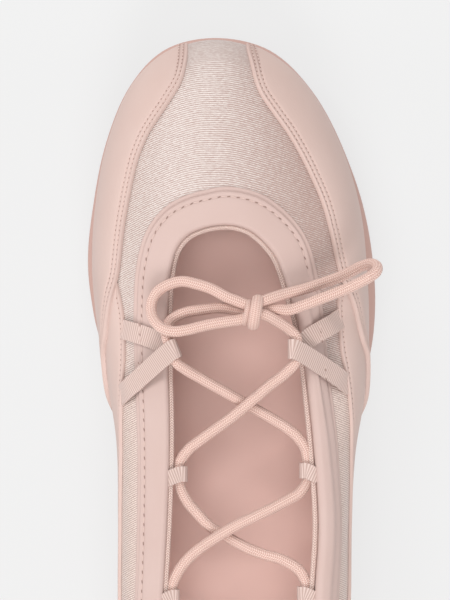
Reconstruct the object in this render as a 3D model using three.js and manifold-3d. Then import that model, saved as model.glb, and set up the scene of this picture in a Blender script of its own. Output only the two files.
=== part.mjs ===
// A low ballet flat for the right foot, with ribbon loops and a laced throat.
// Millimetres. The toe is towards +Y, the outer side of the foot towards +X, and the floor is z = 0.

import * as THREE from "three";
import { mergeVertices } from "three/addons/utils/BufferGeometryUtils.js";
import Module from "manifold-3d";

const { Vector2, Vector3, CatmullRomCurve3 } = THREE;
const wasm = await Module();
wasm.setup();

// Driving sizes of the shoe

const SHOE_LENGTH = 256;
const TOE_END = SHOE_LENGTH / 2;
const FOREFOOT_STACK = 11.5;
const HEEL_STACK = 19;
const TOE_SPRING = 7;
const WAIST_ARCH = 2;
const HEEL_BEVEL = 2.5;
const THROAT_HEIGHT = 47;
const HEEL_HEIGHT = 70;
const THROAT_Y = 69;
const TOPLINE_LENGTH = 188.5;
const TOPLINE_SWEEP = 2;
const UPPER_WALL = 1.8;
const SEAT = 0.3;
const OVERLAY_WALL = 1;
const INSOLE_WALL = 3.2;
const CORD = 3.3;
const RIBBON_WIDTH = 6;
const LOOP_WIDTH = 4.6;
const RIBBON_WALL = 0.7;

// Stations of the last, from the toe round the outer side to the heel and back along the inner side.
// wall is the widest point of a section, collar the point of the topline that it runs to, tuck how far
// the lasted edge turns in under the widest point, ledge how far the sole stands out past it, and band
// how wide the collar's facing is there.

const STATION_COLUMNS = ["name", "wallX", "wallY", "collarX", "collarY", "tuck", "ledge", "band"];
const STATIONS = [
  ["toe", -5.8, 126.6, -1.7, 68.8, 2.2, 1.3, 12],
  ["toe corner out", 11.2, 122.2, 2.2, 68.3, 1.5, 2, 12],
  ["toe side out", 23.8, 110.3, 6, 66.8, 1.4, 1.9, 12],
  ["vamp out", 33.9, 91.5, 10.2, 63.3, 1.4, 1.9, 12],
  ["tread out", 39.2, 73.3, 13.8, 58.6, 1.4, 2.7, 11.8],
  ["ball out", 41.3, 52.9, 17.5, 48, 1.4, 3.7, 10.6],
  ["ball back out", 41.8, 36, 20.8, 36.5, 1.6, 3, 8.9],
  ["waist front out", 40.8, 17.1, 23.3, 18, 2.6, 0.3, 8.6],
  ["waist out", 37.7, -1.4, 25.3, 0, 3.2, -0.7, 9.6],
  ["quarter out", 36.3, -24, 26.8, -23, 3.2, -0.7, 10],
  ["quarter back out", 36.1, -47, 25.4, -45, 2.8, -0.4, 10],
  ["heel front out", 35, -69.9, 24.5, -68, 2.6, 0, 10.2],
  ["heel side out", 31.8, -92.7, 22, -90, 2.4, 0.5, 10.4],
  ["heel corner out", 24.6, -111.4, 16.5, -107.5, 2.2, 1, 11],
  ["heel turn out", 13.2, -122.5, 9, -116.8, 2.2, 1.6, 11.2],
  ["heel", 1, -125.8, 1, -119.5, 2.2, 2, 11.2],
  ["heel turn in", -11.2, -122.5, -7, -116.8, 2.2, 1.6, 10.8],
  ["heel corner in", -23, -111.3, -15, -107.5, 2.2, 1, 10.8],
  ["heel side in", -30.6, -92.7, -20.3, -90, 2.4, 0.5, 10.8],
  ["heel front in", -33.7, -69.9, -22, -68, 2.6, 0, 10.4],
  ["quarter back in", -34.4, -47, -21.3, -45, 3, -0.5, 10.2],
  ["quarter in", -34.4, -22, -20, -21, 3.4, -0.9, 10.7],
  ["waist in", -35, 2.1, -19.3, 3, 3.4, -0.9, 11.4],
  ["waist front in", -38.2, 22.2, -19.6, 24, 2.6, 0, 11.6],
  ["ball back in", -41.2, 41.1, -19.7, 42, 1.6, 2.1, 11.6],
  ["ball in", -42.4, 58, -18.8, 54.5, 1.4, 2.8, 11.6],
  ["tread in", -41.2, 76.8, -16.8, 61.7, 1.4, 2.1, 11.6],
  ["vamp in", -37.5, 95.1, -13.5, 65.6, 1.4, 1.9, 11.6],
  ["toe side in", -30.3, 111.9, -9.3, 67.6, 1.4, 1.9, 11.6],
  ["toe corner in", -20.4, 122.2, -5.5, 68.5, 1.5, 2, 11.6],
].map((row) => Object.fromEntries(row.map((value, i) => [STATION_COLUMNS[i], value])));

// Side profiles: the floor line under the sole, the footbed that the upper stands on, and the topline

const BALL_FRONT_Y = 72;
const BALL_BACK_Y = 14;
const HEEL_FRONT_Y = -48;
const HEEL_BEVEL_Y = -112;
const STACK_BACK_Y = -66;
const STACK_FRONT_Y = 44;

function smooth(from, to, y) {
  const t = THREE.MathUtils.clamp((y - from) / (to - from), 0, 1);
  return t * t * (3 - 2 * t);
}

function toeSpring(y) {
  const t = Math.max(0, (y - BALL_FRONT_Y) / (TOE_END - BALL_FRONT_Y));
  return TOE_SPRING * t * t;
}

function floorZ(y) {
  const t = THREE.MathUtils.clamp((y - HEEL_FRONT_Y) / (BALL_BACK_Y - HEEL_FRONT_Y), 0, 1);
  const arch = WAIST_ARCH * Math.sin(Math.PI * t) ** 2;
  const bevel = Math.max(0, (HEEL_BEVEL_Y - y) / (HEEL_BEVEL_Y + TOE_END));
  return toeSpring(y) + arch + HEEL_BEVEL * bevel * bevel;
}

function footbedZ(y) {
  const forward = smooth(STACK_BACK_Y, STACK_FRONT_Y, y);
  return THREE.MathUtils.lerp(HEEL_STACK, FOREFOOT_STACK, forward) + toeSpring(y);
}

function toplineZ(y) {
  const t = THREE.MathUtils.clamp((THROAT_Y - y) / TOPLINE_LENGTH, 0, 1);
  return THROAT_HEIGHT + (HEEL_HEIGHT - THROAT_HEIGHT) * t ** TOPLINE_SWEEP;
}

// The last: four rails round the shoe and a smooth section through them at any place round it

const ROUND_STEPS = 60;
const WALL_RISE_TOE = 9.5;
const WALL_RISE_HEEL = 17;
const WALL_RISE_BACK_Y = -110;
const WALL_RISE_FRONT_Y = 90;
const SHOULDER_SHARE = 0.22;
const SHOULDER_RISE = 0.62;

function closedRail(pointOf) {
  return new CatmullRomCurve3(STATIONS.map(pointOf), true, "centripetal");
}

const wallRail = closedRail((s) => new Vector3(s.wallX, s.wallY, 0));
const collarRail = closedRail((s) => new Vector3(s.collarX, s.collarY, 0));
const edgeRail = closedRail((s) => new Vector3(s.tuck, s.ledge, s.band));

function turn(round) {
  return ((round % 1) + 1) % 1;
}

function outward(round) {
  const along = wallRail.getTangent(turn(round));
  return new Vector3(-along.y, along.x, 0).normalize();
}

function featherPoint(round) {
  const wall = wallRail.getPoint(turn(round));
  const edge = edgeRail.getPoint(turn(round));
  const foot = wall.clone().addScaledVector(outward(round), -edge.x);
  foot.z = footbedZ(foot.y) + SEAT;
  return foot;
}

const sections = new Map();

function section(round) {
  const key = turn(round).toFixed(6);
  if (sections.has(key)) {
    return sections.get(key);
  }
  const foot = featherPoint(round);
  const wall = wallRail.getPoint(turn(round));
  const forward = smooth(WALL_RISE_BACK_Y, WALL_RISE_FRONT_Y, wall.y);
  wall.z = footbedZ(wall.y) + THREE.MathUtils.lerp(WALL_RISE_HEEL, WALL_RISE_TOE, forward);
  const collar = collarRail.getPoint(turn(round));
  collar.z = toplineZ(collar.y);
  const shoulder = wall.clone().lerp(collar, SHOULDER_SHARE);
  shoulder.z = THREE.MathUtils.lerp(wall.z, collar.z, SHOULDER_RISE);
  const curve = new CatmullRomCurve3([foot, wall, shoulder, collar], false, "centripetal");
  sections.set(key, curve);
  return curve;
}

const ROUND_STRIDE = 0.002;
const SHARE_STRIDE = 0.01;

function lastNormal(round, share) {
  const low = section(round).getPointAt(Math.max(0, share - SHARE_STRIDE));
  const high = section(round).getPointAt(Math.min(1, share + SHARE_STRIDE));
  const behind = section(round - ROUND_STRIDE).getPointAt(share);
  const ahead = section(round + ROUND_STRIDE).getPointAt(share);
  return high.sub(low).cross(ahead.sub(behind)).normalize();
}

function onLast(round, share, lift) {
  const point = section(round).getPointAt(THREE.MathUtils.clamp(share, 0, 1));
  return point.addScaledVector(lastNormal(round, share), lift);
}

// The place on the last under a point of the plan, as its share of the way round and of the way up

const SEARCH_ROUND = 150;
const SEARCH_UP = 24;
const SEARCH_FROM = 4;
const SEARCH_REACH = 0.5;
const SEARCH_END = 0.001;

function underPlan(x, y) {
  let best = { round: 0, share: 0, away: Infinity };
  for (let i = 0; i < SEARCH_ROUND; i++) {
    for (let j = SEARCH_FROM; j <= SEARCH_UP; j++) {
      const point = section(i / SEARCH_ROUND).getPointAt(j / SEARCH_UP);
      const away = Math.hypot(point.x - x, point.y - y);
      if (away < best.away) {
        best = { round: i / SEARCH_ROUND, share: j / SEARCH_UP, away };
      }
    }
  }
  let reach = SEARCH_REACH;
  while (reach > SEARCH_END) {
    const from = best;
    for (const [i, j] of [[1, 0], [-1, 0], [0, 1], [0, -1]]) {
      const round = turn(from.round + (i * reach) / SEARCH_ROUND);
      const share = THREE.MathUtils.clamp(from.share + (j * reach) / SEARCH_UP, 0, 1);
      const point = section(round).getPointAt(share);
      const away = Math.hypot(point.x - x, point.y - y);
      if (away < best.away) {
        best = { round, share, away };
      }
    }
    if (best === from) {
      reach /= 2;
    }
  }
  return best;
}

// Closed meshes from faces, slabs between two surfaces, and sections that are capped from side to side

const LEAST_AREA = 1e-7;
const WELD = 1e-4;

function addFace(faces, a, b, c) {
  const area = b.clone().sub(a).cross(c.clone().sub(a)).length();
  if (area > LEAST_AREA) {
    faces.push(a, b, c);
  }
}

function addQuad(faces, a, b, c, d) {
  addFace(faces, a, b, c);
  addFace(faces, a, c, d);
}

function closedGeometry(faces) {
  let volume = 0;
  for (let i = 0; i < faces.length; i += 3) {
    volume += faces[i].dot(faces[i + 1].clone().cross(faces[i + 2]));
  }
  const turned = volume < 0;
  const places = [];
  for (let i = 0; i < faces.length; i += 3) {
    const order = turned ? [faces[i], faces[i + 2], faces[i + 1]] : [faces[i], faces[i + 1], faces[i + 2]];
    order.forEach((corner) => places.push(corner.x, corner.y, corner.z));
  }
  const geometry = new THREE.BufferGeometry();
  geometry.setAttribute("position", new THREE.Float32BufferAttribute(places, 3));
  geometry.computeVertexNormals();
  return geometry;
}

function slab(outer, inner, wraps) {
  const rows = outer.length;
  const top = outer[0].length - 1;
  const faces = [];
  for (let i = 0; i < (wraps ? rows : rows - 1); i++) {
    const k = (i + 1) % rows;
    for (let j = 0; j < top; j++) {
      addQuad(faces, outer[i][j], outer[k][j], outer[k][j + 1], outer[i][j + 1]);
      addQuad(faces, inner[i][j], inner[i][j + 1], inner[k][j + 1], inner[k][j]);
    }
    addQuad(faces, inner[i][0], inner[k][0], outer[k][0], outer[i][0]);
    addQuad(faces, outer[i][top], outer[k][top], inner[k][top], inner[i][top]);
  }
  if (!wraps) {
    const end = rows - 1;
    for (let j = 0; j < top; j++) {
      addQuad(faces, outer[0][j], outer[0][j + 1], inner[0][j + 1], inner[0][j]);
      addQuad(faces, outer[end][j + 1], outer[end][j], inner[end][j], inner[end][j + 1]);
    }
  }
  return closedGeometry(faces);
}

function addCap(faces, ring, across, heightAt, flipped) {
  const half = ring.length / 2;
  const rows = [];
  for (let k = 0; k <= half; k++) {
    const left = ring[(ring.length - k) % ring.length];
    const row = [];
    for (let a = 0; a <= across; a++) {
      const point = left.clone().lerp(ring[k], a / across);
      if (a > 0 && a < across && k > 0 && k < half) {
        point.z = heightAt(point.y);
      }
      row.push(point);
    }
    rows.push(row);
  }
  for (let k = 0; k < half; k++) {
    for (let a = 0; a < across; a++) {
      const corners = [rows[k][a], rows[k][a + 1], rows[k + 1][a + 1], rows[k + 1][a]];
      addQuad(faces, ...(flipped ? corners.reverse() : corners));
    }
  }
}

function stacked(rings, across, bottomAt, topAt) {
  const faces = [];
  const count = rings[0].length;
  for (let level = 0; level < rings.length - 1; level++) {
    for (let i = 0; i < count; i++) {
      const k = (i + 1) % count;
      addQuad(faces, rings[level][i], rings[level + 1][i], rings[level + 1][k], rings[level][k]);
    }
  }
  addCap(faces, rings[0], across, bottomAt, false);
  addCap(faces, rings.at(-1), across, topAt, true);
  return closedGeometry(faces);
}

function asSolid(geometry) {
  const loose = geometry.index ? geometry.toNonIndexed() : geometry;
  const plain = new THREE.BufferGeometry();
  plain.setAttribute("position", loose.getAttribute("position"));
  const welded = mergeVertices(plain, WELD);
  return new wasm.Manifold(
    new wasm.Mesh({
      numProp: 3,
      vertProperties: new Float32Array(welded.getAttribute("position").array),
      triVerts: new Uint32Array(welded.getIndex().array),
    }),
  );
}

function fromSolid(solid) {
  const mesh = solid.getMesh();
  const geometry = new THREE.BufferGeometry();
  geometry.setAttribute("position", new THREE.Float32BufferAttribute(mesh.vertProperties, 3));
  geometry.setIndex(new THREE.Uint32BufferAttribute(mesh.triVerts, 1));
  return geometry.toNonIndexed();
}

// Materials, with the colours of the photographed shoe

function surface(colour, roughness) {
  return new THREE.MeshStandardMaterial({ color: colour, roughness, metalness: 0 });
}

const textile = surface("#dccbc2", 0.55);
const leather = surface("#e6cdc5", 0.45);
const rubber = surface("#cfa89f", 0.6);
const sock = surface("#c39c92", 0.7);
const ribbon = surface("#e6d6cc", 0.65);
const braid = surface("#e6c5b8", 0.8);

const shoe = new THREE.Group();
shoe.name = "ballet_flat";

function addPiece(name, geometry, material) {
  const mesh = new THREE.Mesh(geometry, material);
  mesh.name = name;
  shoe.add(mesh);
}

// Outsole: a rubber cup with a lip round the upper, a groove round its side and flex grooves below

const SOLE_ACROSS = 4;
const LIP_RISE = 2.6;
const LIP_WALL = 1.3;
const SOLE_SIDE = [
  { part: "tread edge", inset: 3.2, height: 0, raise: 0 },
  { part: "rounded edge", inset: 0.9, height: 0, raise: 2.4 },
  { part: "groove below", inset: 0.1, height: 0.55, raise: -0.7 },
  { part: "groove bottom", inset: 0.6, height: 0.55, raise: 0 },
  { part: "groove above", inset: 0, height: 0.55, raise: 0.7 },
  { part: "ledge", inset: 0.2, height: 1, raise: -1.2 },
];
const FLEX_GROOVES = [88, 74, 60, 46, 32, -62, -79, -96];
const FLEX_REACH = 120;
const FLEX_WIDTH = 2.4;
const FLEX_DEEP = 1.5;

function lipShare(round) {
  return LIP_RISE / section(round).getLength();
}

function soleRing(placeOf) {
  const ring = [];
  for (let i = 0; i < ROUND_STEPS; i++) {
    ring.push(placeOf(i / ROUND_STEPS));
  }
  return ring;
}

function soleSide(row) {
  return soleRing((round) => {
    const ledge = edgeRail.getPoint(round).y;
    const point = wallRail.getPoint(round).addScaledVector(outward(round), ledge - row.inset);
    point.z = THREE.MathUtils.lerp(floorZ(point.y), footbedZ(point.y), row.height) + row.raise;
    return point;
  });
}

function lipOuter(round) {
  const point = onLast(round, lipShare(round), SEAT);
  return point.addScaledVector(outward(round), LIP_WALL);
}

function lipFoot(round) {
  const point = onLast(round, 0, 0).addScaledVector(outward(round), SEAT);
  point.z = footbedZ(point.y);
  return point;
}

const soleRings = [
  ...SOLE_SIDE.map(soleSide),
  soleRing(lipOuter),
  soleRing((round) => onLast(round, lipShare(round), SEAT)),
  soleRing(lipFoot),
];
let soleSolid = asSolid(stacked(soleRings, SOLE_ACROSS, floorZ, footbedZ));
for (const y of FLEX_GROOVES) {
  const cutter = new THREE.BoxGeometry(FLEX_REACH, FLEX_WIDTH, 2 * FLEX_DEEP);
  cutter.translate(0, y, floorZ(y));
  soleSolid = soleSolid.subtract(asSolid(cutter));
}
addPiece("outsole", fromSolid(soleSolid), rubber);

// Insole: a thin board that lies on the footbed, inside the lasted edge of the upper

const INSOLE_STEPS = 40;
const INSOLE_ACROSS = 4;
const INSOLE_MARGIN = 0.5;
const INSOLE_UNDERCUT = 0.4;
const INSOLE_ROUNDING = 0.8;

function insoleRing(inset, raise) {
  const ring = [];
  for (let i = 0; i < INSOLE_STEPS; i++) {
    const round = i / INSOLE_STEPS;
    const away = -(UPPER_WALL + INSOLE_MARGIN + inset);
    const point = featherPoint(round).addScaledVector(outward(round), away);
    point.z = footbedZ(point.y) + raise;
    ring.push(point);
  }
  return ring;
}

const insoleTop = SEAT + INSOLE_WALL;
const insoleRings = [
  insoleRing(INSOLE_UNDERCUT, SEAT),
  insoleRing(0, insoleTop - INSOLE_ROUNDING),
  insoleRing(INSOLE_ROUNDING, insoleTop),
];
const insoleLow = (y) => footbedZ(y) + SEAT;
const insoleHigh = (y) => footbedZ(y) + insoleTop;
addPiece("insole", stacked(insoleRings, INSOLE_ACROSS, insoleLow, insoleHigh), sock);

// Upper: one hollow wall from the lasted edge to the topline, open above and below

const UPPER_RISE = 8;

function lastGrid(steps, rows, lowAt, highAt, roundAt, lift) {
  const grid = [];
  for (let i = 0; i < steps; i++) {
    const round = roundAt(i);
    const column = [];
    for (let j = 0; j < rows; j++) {
      const share = THREE.MathUtils.lerp(lowAt(round), highAt(round), j / (rows - 1));
      column.push(onLast(round, share, lift));
    }
    grid.push(column);
  }
  return grid;
}

function upperGrid(lift) {
  const grid = lastGrid(ROUND_STEPS, UPPER_RISE + 1, () => 0, () => 1, (i) => i / ROUND_STEPS, lift);
  for (const column of grid) {
    column[0].z = footbedZ(column[0].y) + SEAT;
  }
  return grid;
}

addPiece("upper", slab(upperGrid(0), upperGrid(-UPPER_WALL), true), textile);

// Collar band: the leather facing round the opening, along the upper's own surface

const BAND_ROWS = 4;

function bandLow(round) {
  return 1 - edgeRail.getPoint(turn(round)).z / section(round).getLength();
}

function bandGrid(lift) {
  return lastGrid(ROUND_STEPS, BAND_ROWS, bandLow, () => 1, (i) => i / ROUND_STEPS, lift);
}

addPiece("collar_band", slab(bandGrid(SEAT + OVERLAY_WALL), bandGrid(SEAT), true), leather);

// Mudguards and quarter overlay: leather panels between edges that are drawn on the plan.
// An edge row is a place on the plan, or a place round the shoe with a share of the way up.

const LIP_GAP = 0.8;
const PANEL_FOOT_RISE = LIP_RISE + LIP_GAP;

function panelFoot(round) {
  return PANEL_FOOT_RISE / section(round).getLength();
}

function edgeOf(rows) {
  const places = rows.map((row) => ("x" in row ? underPlan(row.x, row.y) : row));
  places.sort((a, b) => a.round - b.round);
  const slope = (i) => {
    const behind = places[Math.max(i - 1, 0)];
    const ahead = places[Math.min(i + 1, places.length - 1)];
    return (ahead.share - behind.share) / (ahead.round - behind.round);
  };
  return (round) => {
    let i = 0;
    while (i < places.length - 2 && places[i + 1].round < round) {
      i += 1;
    }
    const [from, to] = [places[i], places[i + 1]];
    const wide = to.round - from.round;
    const t = THREE.MathUtils.clamp((round - from.round) / wide, 0, 1);
    const rest = 1 - t;
    const near = rest * rest * ((1 + 2 * t) * from.share + t * wide * slope(i));
    const far = t * t * ((3 - 2 * t) * to.share - rest * wide * slope(i + 1));
    return near + far;
  };
}

const MUDGUARD_OUT = [
  { x: 4.6, y: 124 },
  { x: 5.6, y: 119.5 },
  { x: 7, y: 113.3 },
  { x: 8.8, y: 108.9 },
  { x: 12.8, y: 103 },
  { x: 17, y: 97.1 },
  { x: 20.6, y: 91 },
  { x: 24.4, y: 83.3 },
  { x: 27.6, y: 75.7 },
  { x: 30, y: 67.1 },
  { x: 31.8, y: 58.8 },
  { x: 34, y: 50.7 },
  { x: 36.4, y: 44.5 },
  { x: 37.9, y: 38.5 },
  { x: 39.3, y: 33 },
  { x: 40.9, y: 27.5 },
  { round: 0.236, share: 0.26 },
  { round: 0.256, share: 0.07 },
];
const MUDGUARD_IN = [
  { round: 0.738, share: 0.07 },
  { round: 0.758, share: 0.27 },
  { x: -38.4, y: 28.5 },
  { x: -37.7, y: 35 },
  { x: -36.6, y: 43.5 },
  { x: -35, y: 51.2 },
  { x: -34, y: 58 },
  { x: -33, y: 67 },
  { x: -31.7, y: 75 },
  { x: -30.3, y: 82 },
  { x: -28.3, y: 90 },
  { x: -25.6, y: 96.5 },
  { x: -22.3, y: 101.8 },
  { x: -18.8, y: 107 },
  { x: -15.4, y: 112.8 },
  { x: -14, y: 118 },
  { x: -13.5, y: 124 },
];
const QUARTER_TOP = [
  { x: 34, y: 50.4 },
  { x: 32.6, y: 45.8 },
  { x: 32.8, y: 37 },
  { x: 33.5, y: 30 },
  { x: 34.9, y: 22.5 },
  { x: 36.1, y: 12.4 },
  { x: 36.5, y: 3.6 },
  { round: 0.295, share: 0.5 },
  { round: 0.34, share: 0.53 },
  { round: 0.42, share: 0.53 },
  { round: 0.5, share: 0.55 },
  { round: 0.58, share: 0.52 },
  { round: 0.66, share: 0.5 },
  { round: 0.71, share: 0.48 },
  { round: 0.735, share: 0.53 },
  { x: -33.5, y: 14 },
  { x: -32.9, y: 24 },
  { x: -32.6, y: 32 },
  { x: -32.9, y: 39.7 },
  { x: -33.6, y: 44.7 },
  { x: -35, y: 51 },
];
const PANEL_ROWS = 6;
const PANEL_LEAST = 0.012;
const CUT_ABOVE = 4;
const CUT_BELOW = 2;
const MUDGUARD_COLUMNS = { count: 26, crowding: 0.2 };
const QUARTER_COLUMNS = { count: 44, crowding: 0.7 };
const MUDGUARD_END_OUT = 0.256;
const MUDGUARD_END_IN = 0.738;

const mudguardOut = edgeOf(MUDGUARD_OUT);
const mudguardIn = edgeOf(MUDGUARD_IN);
const quarterTop = edgeOf(QUARTER_TOP);

const overlayShell = asSolid(slab(upperGrid(SEAT + OVERLAY_WALL), upperGrid(SEAT), true));

function panel(from, to, columns, lowAt, highAt) {
  const roundAt = (i) => {
    const t = i / (columns.count - 1);
    const sway = Math.sin(2 * Math.PI * t) / (2 * Math.PI);
    return THREE.MathUtils.lerp(from, to, t - columns.crowding * sway);
  };
  const high = (round) => Math.max(highAt(round), lowAt(round) + PANEL_LEAST);
  const outer = lastGrid(columns.count, PANEL_ROWS, lowAt, high, roundAt, CUT_ABOVE);
  const inner = lastGrid(columns.count, PANEL_ROWS, lowAt, high, roundAt, -CUT_BELOW);
  return fromSolid(overlayShell.intersect(asSolid(slab(outer, inner, false))));
}

const outFront = underPlan(MUDGUARD_OUT[0].x, MUDGUARD_OUT[0].y).round;
const inFront = underPlan(MUDGUARD_IN.at(-1).x, MUDGUARD_IN.at(-1).y).round;
const lateralPanel = panel(outFront, MUDGUARD_END_OUT, MUDGUARD_COLUMNS, panelFoot, mudguardOut);
const medialPanel = panel(MUDGUARD_END_IN, inFront, MUDGUARD_COLUMNS, panelFoot, mudguardIn);
addPiece("mudguard_lateral", lateralPanel, leather);
addPiece("mudguard_medial", medialPanel, leather);

// The quarter overlay's lower edge lies along the mudguards' back edges and then along the sole's lip

const SEAM_GAP = 0.6;
const SEAM_REST = 0.012;
const TIP_REST = 0.004;
const wallLength = wallRail.getLength();

function quarterLow(round) {
  const mudguardTop = round < 0.5 ? mudguardOut : mudguardIn;
  const foot = panelFoot(round);
  if (round > MUDGUARD_END_OUT + SEAM_REST && round < MUDGUARD_END_IN - SEAM_REST) {
    return foot;
  }
  const long = section(round).getLength();
  const climb = (mudguardTop(round + ROUND_STRIDE) - mudguardTop(round - ROUND_STRIDE)) * long;
  const steep = climb / (2 * ROUND_STRIDE * wallLength);
  return Math.max(mudguardTop(round), foot + PANEL_LEAST) + (SEAM_GAP * Math.hypot(1, steep)) / long;
}

const outTip = underPlan(QUARTER_TOP[0].x, QUARTER_TOP[0].y).round;
const inTip = underPlan(QUARTER_TOP.at(-1).x, QUARTER_TOP.at(-1).y).round;
const quarterPanel = panel(outTip + TIP_REST, inTip - TIP_REST, QUARTER_COLUMNS, quarterLow, quarterTop);
addPiece("quarter_overlay", quarterPanel, leather);

// Lace: the hand-laid route of the cord, from the inner front loop to the outer one

const LACE_IN_TO_BACK = [
  [-18.5, 30.5, 53.3],
  [-17, 26.9, 53.2],
  [-14, 24.5, 52.2],
  [-9.4, 21.8, 50.9],
  [-4.7, 19.1, 50.2],
  [0.1, 16.4, 49.4],
  [4.7, 13.8, 48.8],
  [11.9, 9.7, 48.6],
  [16.7, 6.7, 48.5],
  [20, 4, 48.2],
  [22.5, 0.4, 47.9],
  [23.2, -3, 47.7],
  [23.3, -6.5, 47.7],
  [23, -10, 47.8],
  [20.7, -13.4, 48.9],
  [17.3, -15.4, 49.6],
  [11.9, -18.2, 50.4],
  [6.6, -20.7, 51.2],
  [1.4, -23.2, 51.6],
  [-3.1, -25.8, 51.8],
  [-9.2, -29.8, 52.2],
  [-13.3, -33.3, 52.4],
  [-16.4, -37.4, 52.5],
  [-18.1, -41.4, 52.5],
  [-18.4, -45, 52.5],
  [-18.1, -48.6, 52.5],
  [-14, -52.6, 52.1],
  [2, -53.4, 51.6],
];
const LACE_OUT_TO_BACK = [
  [19.7, 30.8, 53.3],
  [19.7, 27.2, 53.3],
  [16.6, 23.6, 52.4],
  [11.4, 19.5, 51.7],
  [7.7, 16.3, 51.6],
  [4.7, 13.8, 51.5],
  [0.4, 10.2, 51],
  [-4.2, 6.8, 50.4],
  [-9, 3.3, 49.6],
  [-13.2, 0, 48.6],
  [-15.9, -4, 48],
  [-16.1, -7.5, 48],
  [-15.9, -11, 48],
  [-13.9, -15.5, 48.6],
  [-10.3, -19.9, 49],
  [-6.6, -23.6, 49.1],
  [-3.1, -25.8, 49.1],
  [4.9, -30.2, 50],
  [10.1, -32.1, 50.8],
  [15.4, -33.6, 51.6],
  [20.6, -36.8, 52.4],
  [22.5, -40.2, 52.5],
  [22.5, -44.1, 52.5],
  [22.2, -47.7, 52.5],
  [17, -52.6, 52.1],
  [1.5, -53.4, 51.6],
];
const CORD_SIDES = 8;
const LACE_STEP = 4.7;
const BOW_STEP = 3.2;

function cordTube(route, step) {
  const shape = new THREE.Shape();
  for (let i = 0; i < CORD_SIDES; i++) {
    const angle = (2 * Math.PI * i) / CORD_SIDES;
    const corner = new Vector2(Math.cos(angle), Math.sin(angle)).multiplyScalar(CORD / 2);
    if (i === 0) {
      shape.moveTo(corner.x, corner.y);
    } else {
      shape.lineTo(corner.x, corner.y);
    }
  }
  shape.closePath();
  const path = new CatmullRomCurve3(route.map((p) => new Vector3(...p)), false, "centripetal");
  const steps = Math.round(path.getLength() / step);
  return new THREE.ExtrudeGeometry(shape, { steps, bevelEnabled: false, extrudePath: path });
}

const laceIn = asSolid(cordTube(LACE_IN_TO_BACK, LACE_STEP));
const laceOut = asSolid(cordTube(LACE_OUT_TO_BACK, LACE_STEP));
addPiece("lace", fromSolid(laceIn.add(laceOut)), braid);

// Bow: two loops and two strands that leave the knot, each laid by hand

const BOW_LOOP_IN = [
  [3, 45, 56.1],
  [-1.5, 46.7, 55.6],
  [-6.2, 49.2, 54.6],
  [-10.9, 50.7, 53.2],
  [-14.9, 51.5, 51.8],
  [-18.7, 50.7, 50.8],
  [-22.4, 48.6, 50.4],
  [-24.5, 45.5, 50.9],
  [-24.9, 42.3, 52],
  [-23.4, 39.2, 54],
  [-21.1, 37.1, 55.7],
  [-17.7, 36.2, 56.6],
  [-13.9, 36.6, 56.7],
  [-9.4, 37.7, 56.7],
  [-4.6, 38.7, 56.8],
  [0.1, 39.4, 56.8],
  [3.1, 39.7, 56.8],
];
const BOW_LOOP_OUT = [
  [9.9, 45.8, 54.7],
  [15.7, 48.1, 52.8],
  [21.6, 50.1, 51],
  [27.3, 52.2, 49.6],
  [33.2, 54.5, 48.4],
  [39.2, 56.7, 47.6],
  [42.7, 57.7, 47.6],
  [44.9, 57.3, 49],
  [45.2, 56.1, 51],
  [43.3, 53.6, 52.9],
  [39, 50.9, 53.4],
  [33.2, 48.5, 54],
  [27.3, 46.2, 54.8],
  [21.5, 44, 55.8],
  [17.6, 42.8, 56.8],
  [13.7, 43, 57.6],
  [9.7, 43.4, 58.1],
];
const BOW_STRAND_IN = [
  [3, 42.5, 53.2],
  [-3, 43.7, 52.8],
  [-9.4, 43.4, 52.4],
  [-14.9, 42.1, 52],
  [-18.9, 39.4, 51.7],
  [-20, 35.4, 52.9],
  [-19.5, 33.2, 53.3],
  [-18.8, 31.2, 53.3],
];
const BOW_STRAND_OUT = [
  [10, 41.3, 53.4],
  [13.5, 39.5, 53],
  [17.4, 37, 53],
  [19.8, 34.2, 53.3],
  [19.7, 31.6, 53.3],
];
addPiece("bow_loop_medial", cordTube(BOW_LOOP_IN, BOW_STEP), braid);
addPiece("bow_loop_lateral", cordTube(BOW_LOOP_OUT, BOW_STEP), braid);
addPiece("bow_strand_medial", cordTube(BOW_STRAND_IN, BOW_STEP), braid);
addPiece("bow_strand_lateral", cordTube(BOW_STRAND_OUT, BOW_STEP), braid);

// Knot: a tight wrap of the cord with a narrower wrap beside it, turned on an axis across the shoe

const KNOT_CENTRE = new Vector3(6.9, 42.3, 56);
const KNOT_PROFILE = [
  { radius: 0, across: -3.2 },
  { radius: 2.9, across: -3.2 },
  { radius: 4.1, across: -2.5 },
  { radius: 4, across: -1.8 },
  { radius: 4.7, across: -1.4 },
  { radius: 5.1, across: 0.2 },
  { radius: 4.6, across: 1.7 },
  { radius: 3.4, across: 2.1 },
  { radius: 0, across: 2.1 },
];
const KNOT_SIDES = 16;
const knot = new THREE.LatheGeometry(KNOT_PROFILE.map((p) => new Vector2(p.radius, p.across)), KNOT_SIDES);
knot.rotateZ(-Math.PI / 2);
knot.translate(KNOT_CENTRE.x, KNOT_CENTRE.y, KNOT_CENTRE.z);
addPiece("bow_knot", knot, braid);

// Ribbon loops: each ribbon is folded round the cord, with its two legs on the collar or under its edge

const FOLD_SLACK = 0.6;
const FOLD_RADIUS = CORD / 2 + FOLD_SLACK + RIBBON_WALL / 2;
const RIM_GAP = 0.25;
const COLLAR_FOLD = [90, 50, 15, -15, -50, -90];
const FRONT_FOLD = [130, ...COLLAR_FOLD];
const LEG_LIFT = SEAT + OVERLAY_WALL + 2 * SEAT + RIBBON_WALL / 2;

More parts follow.
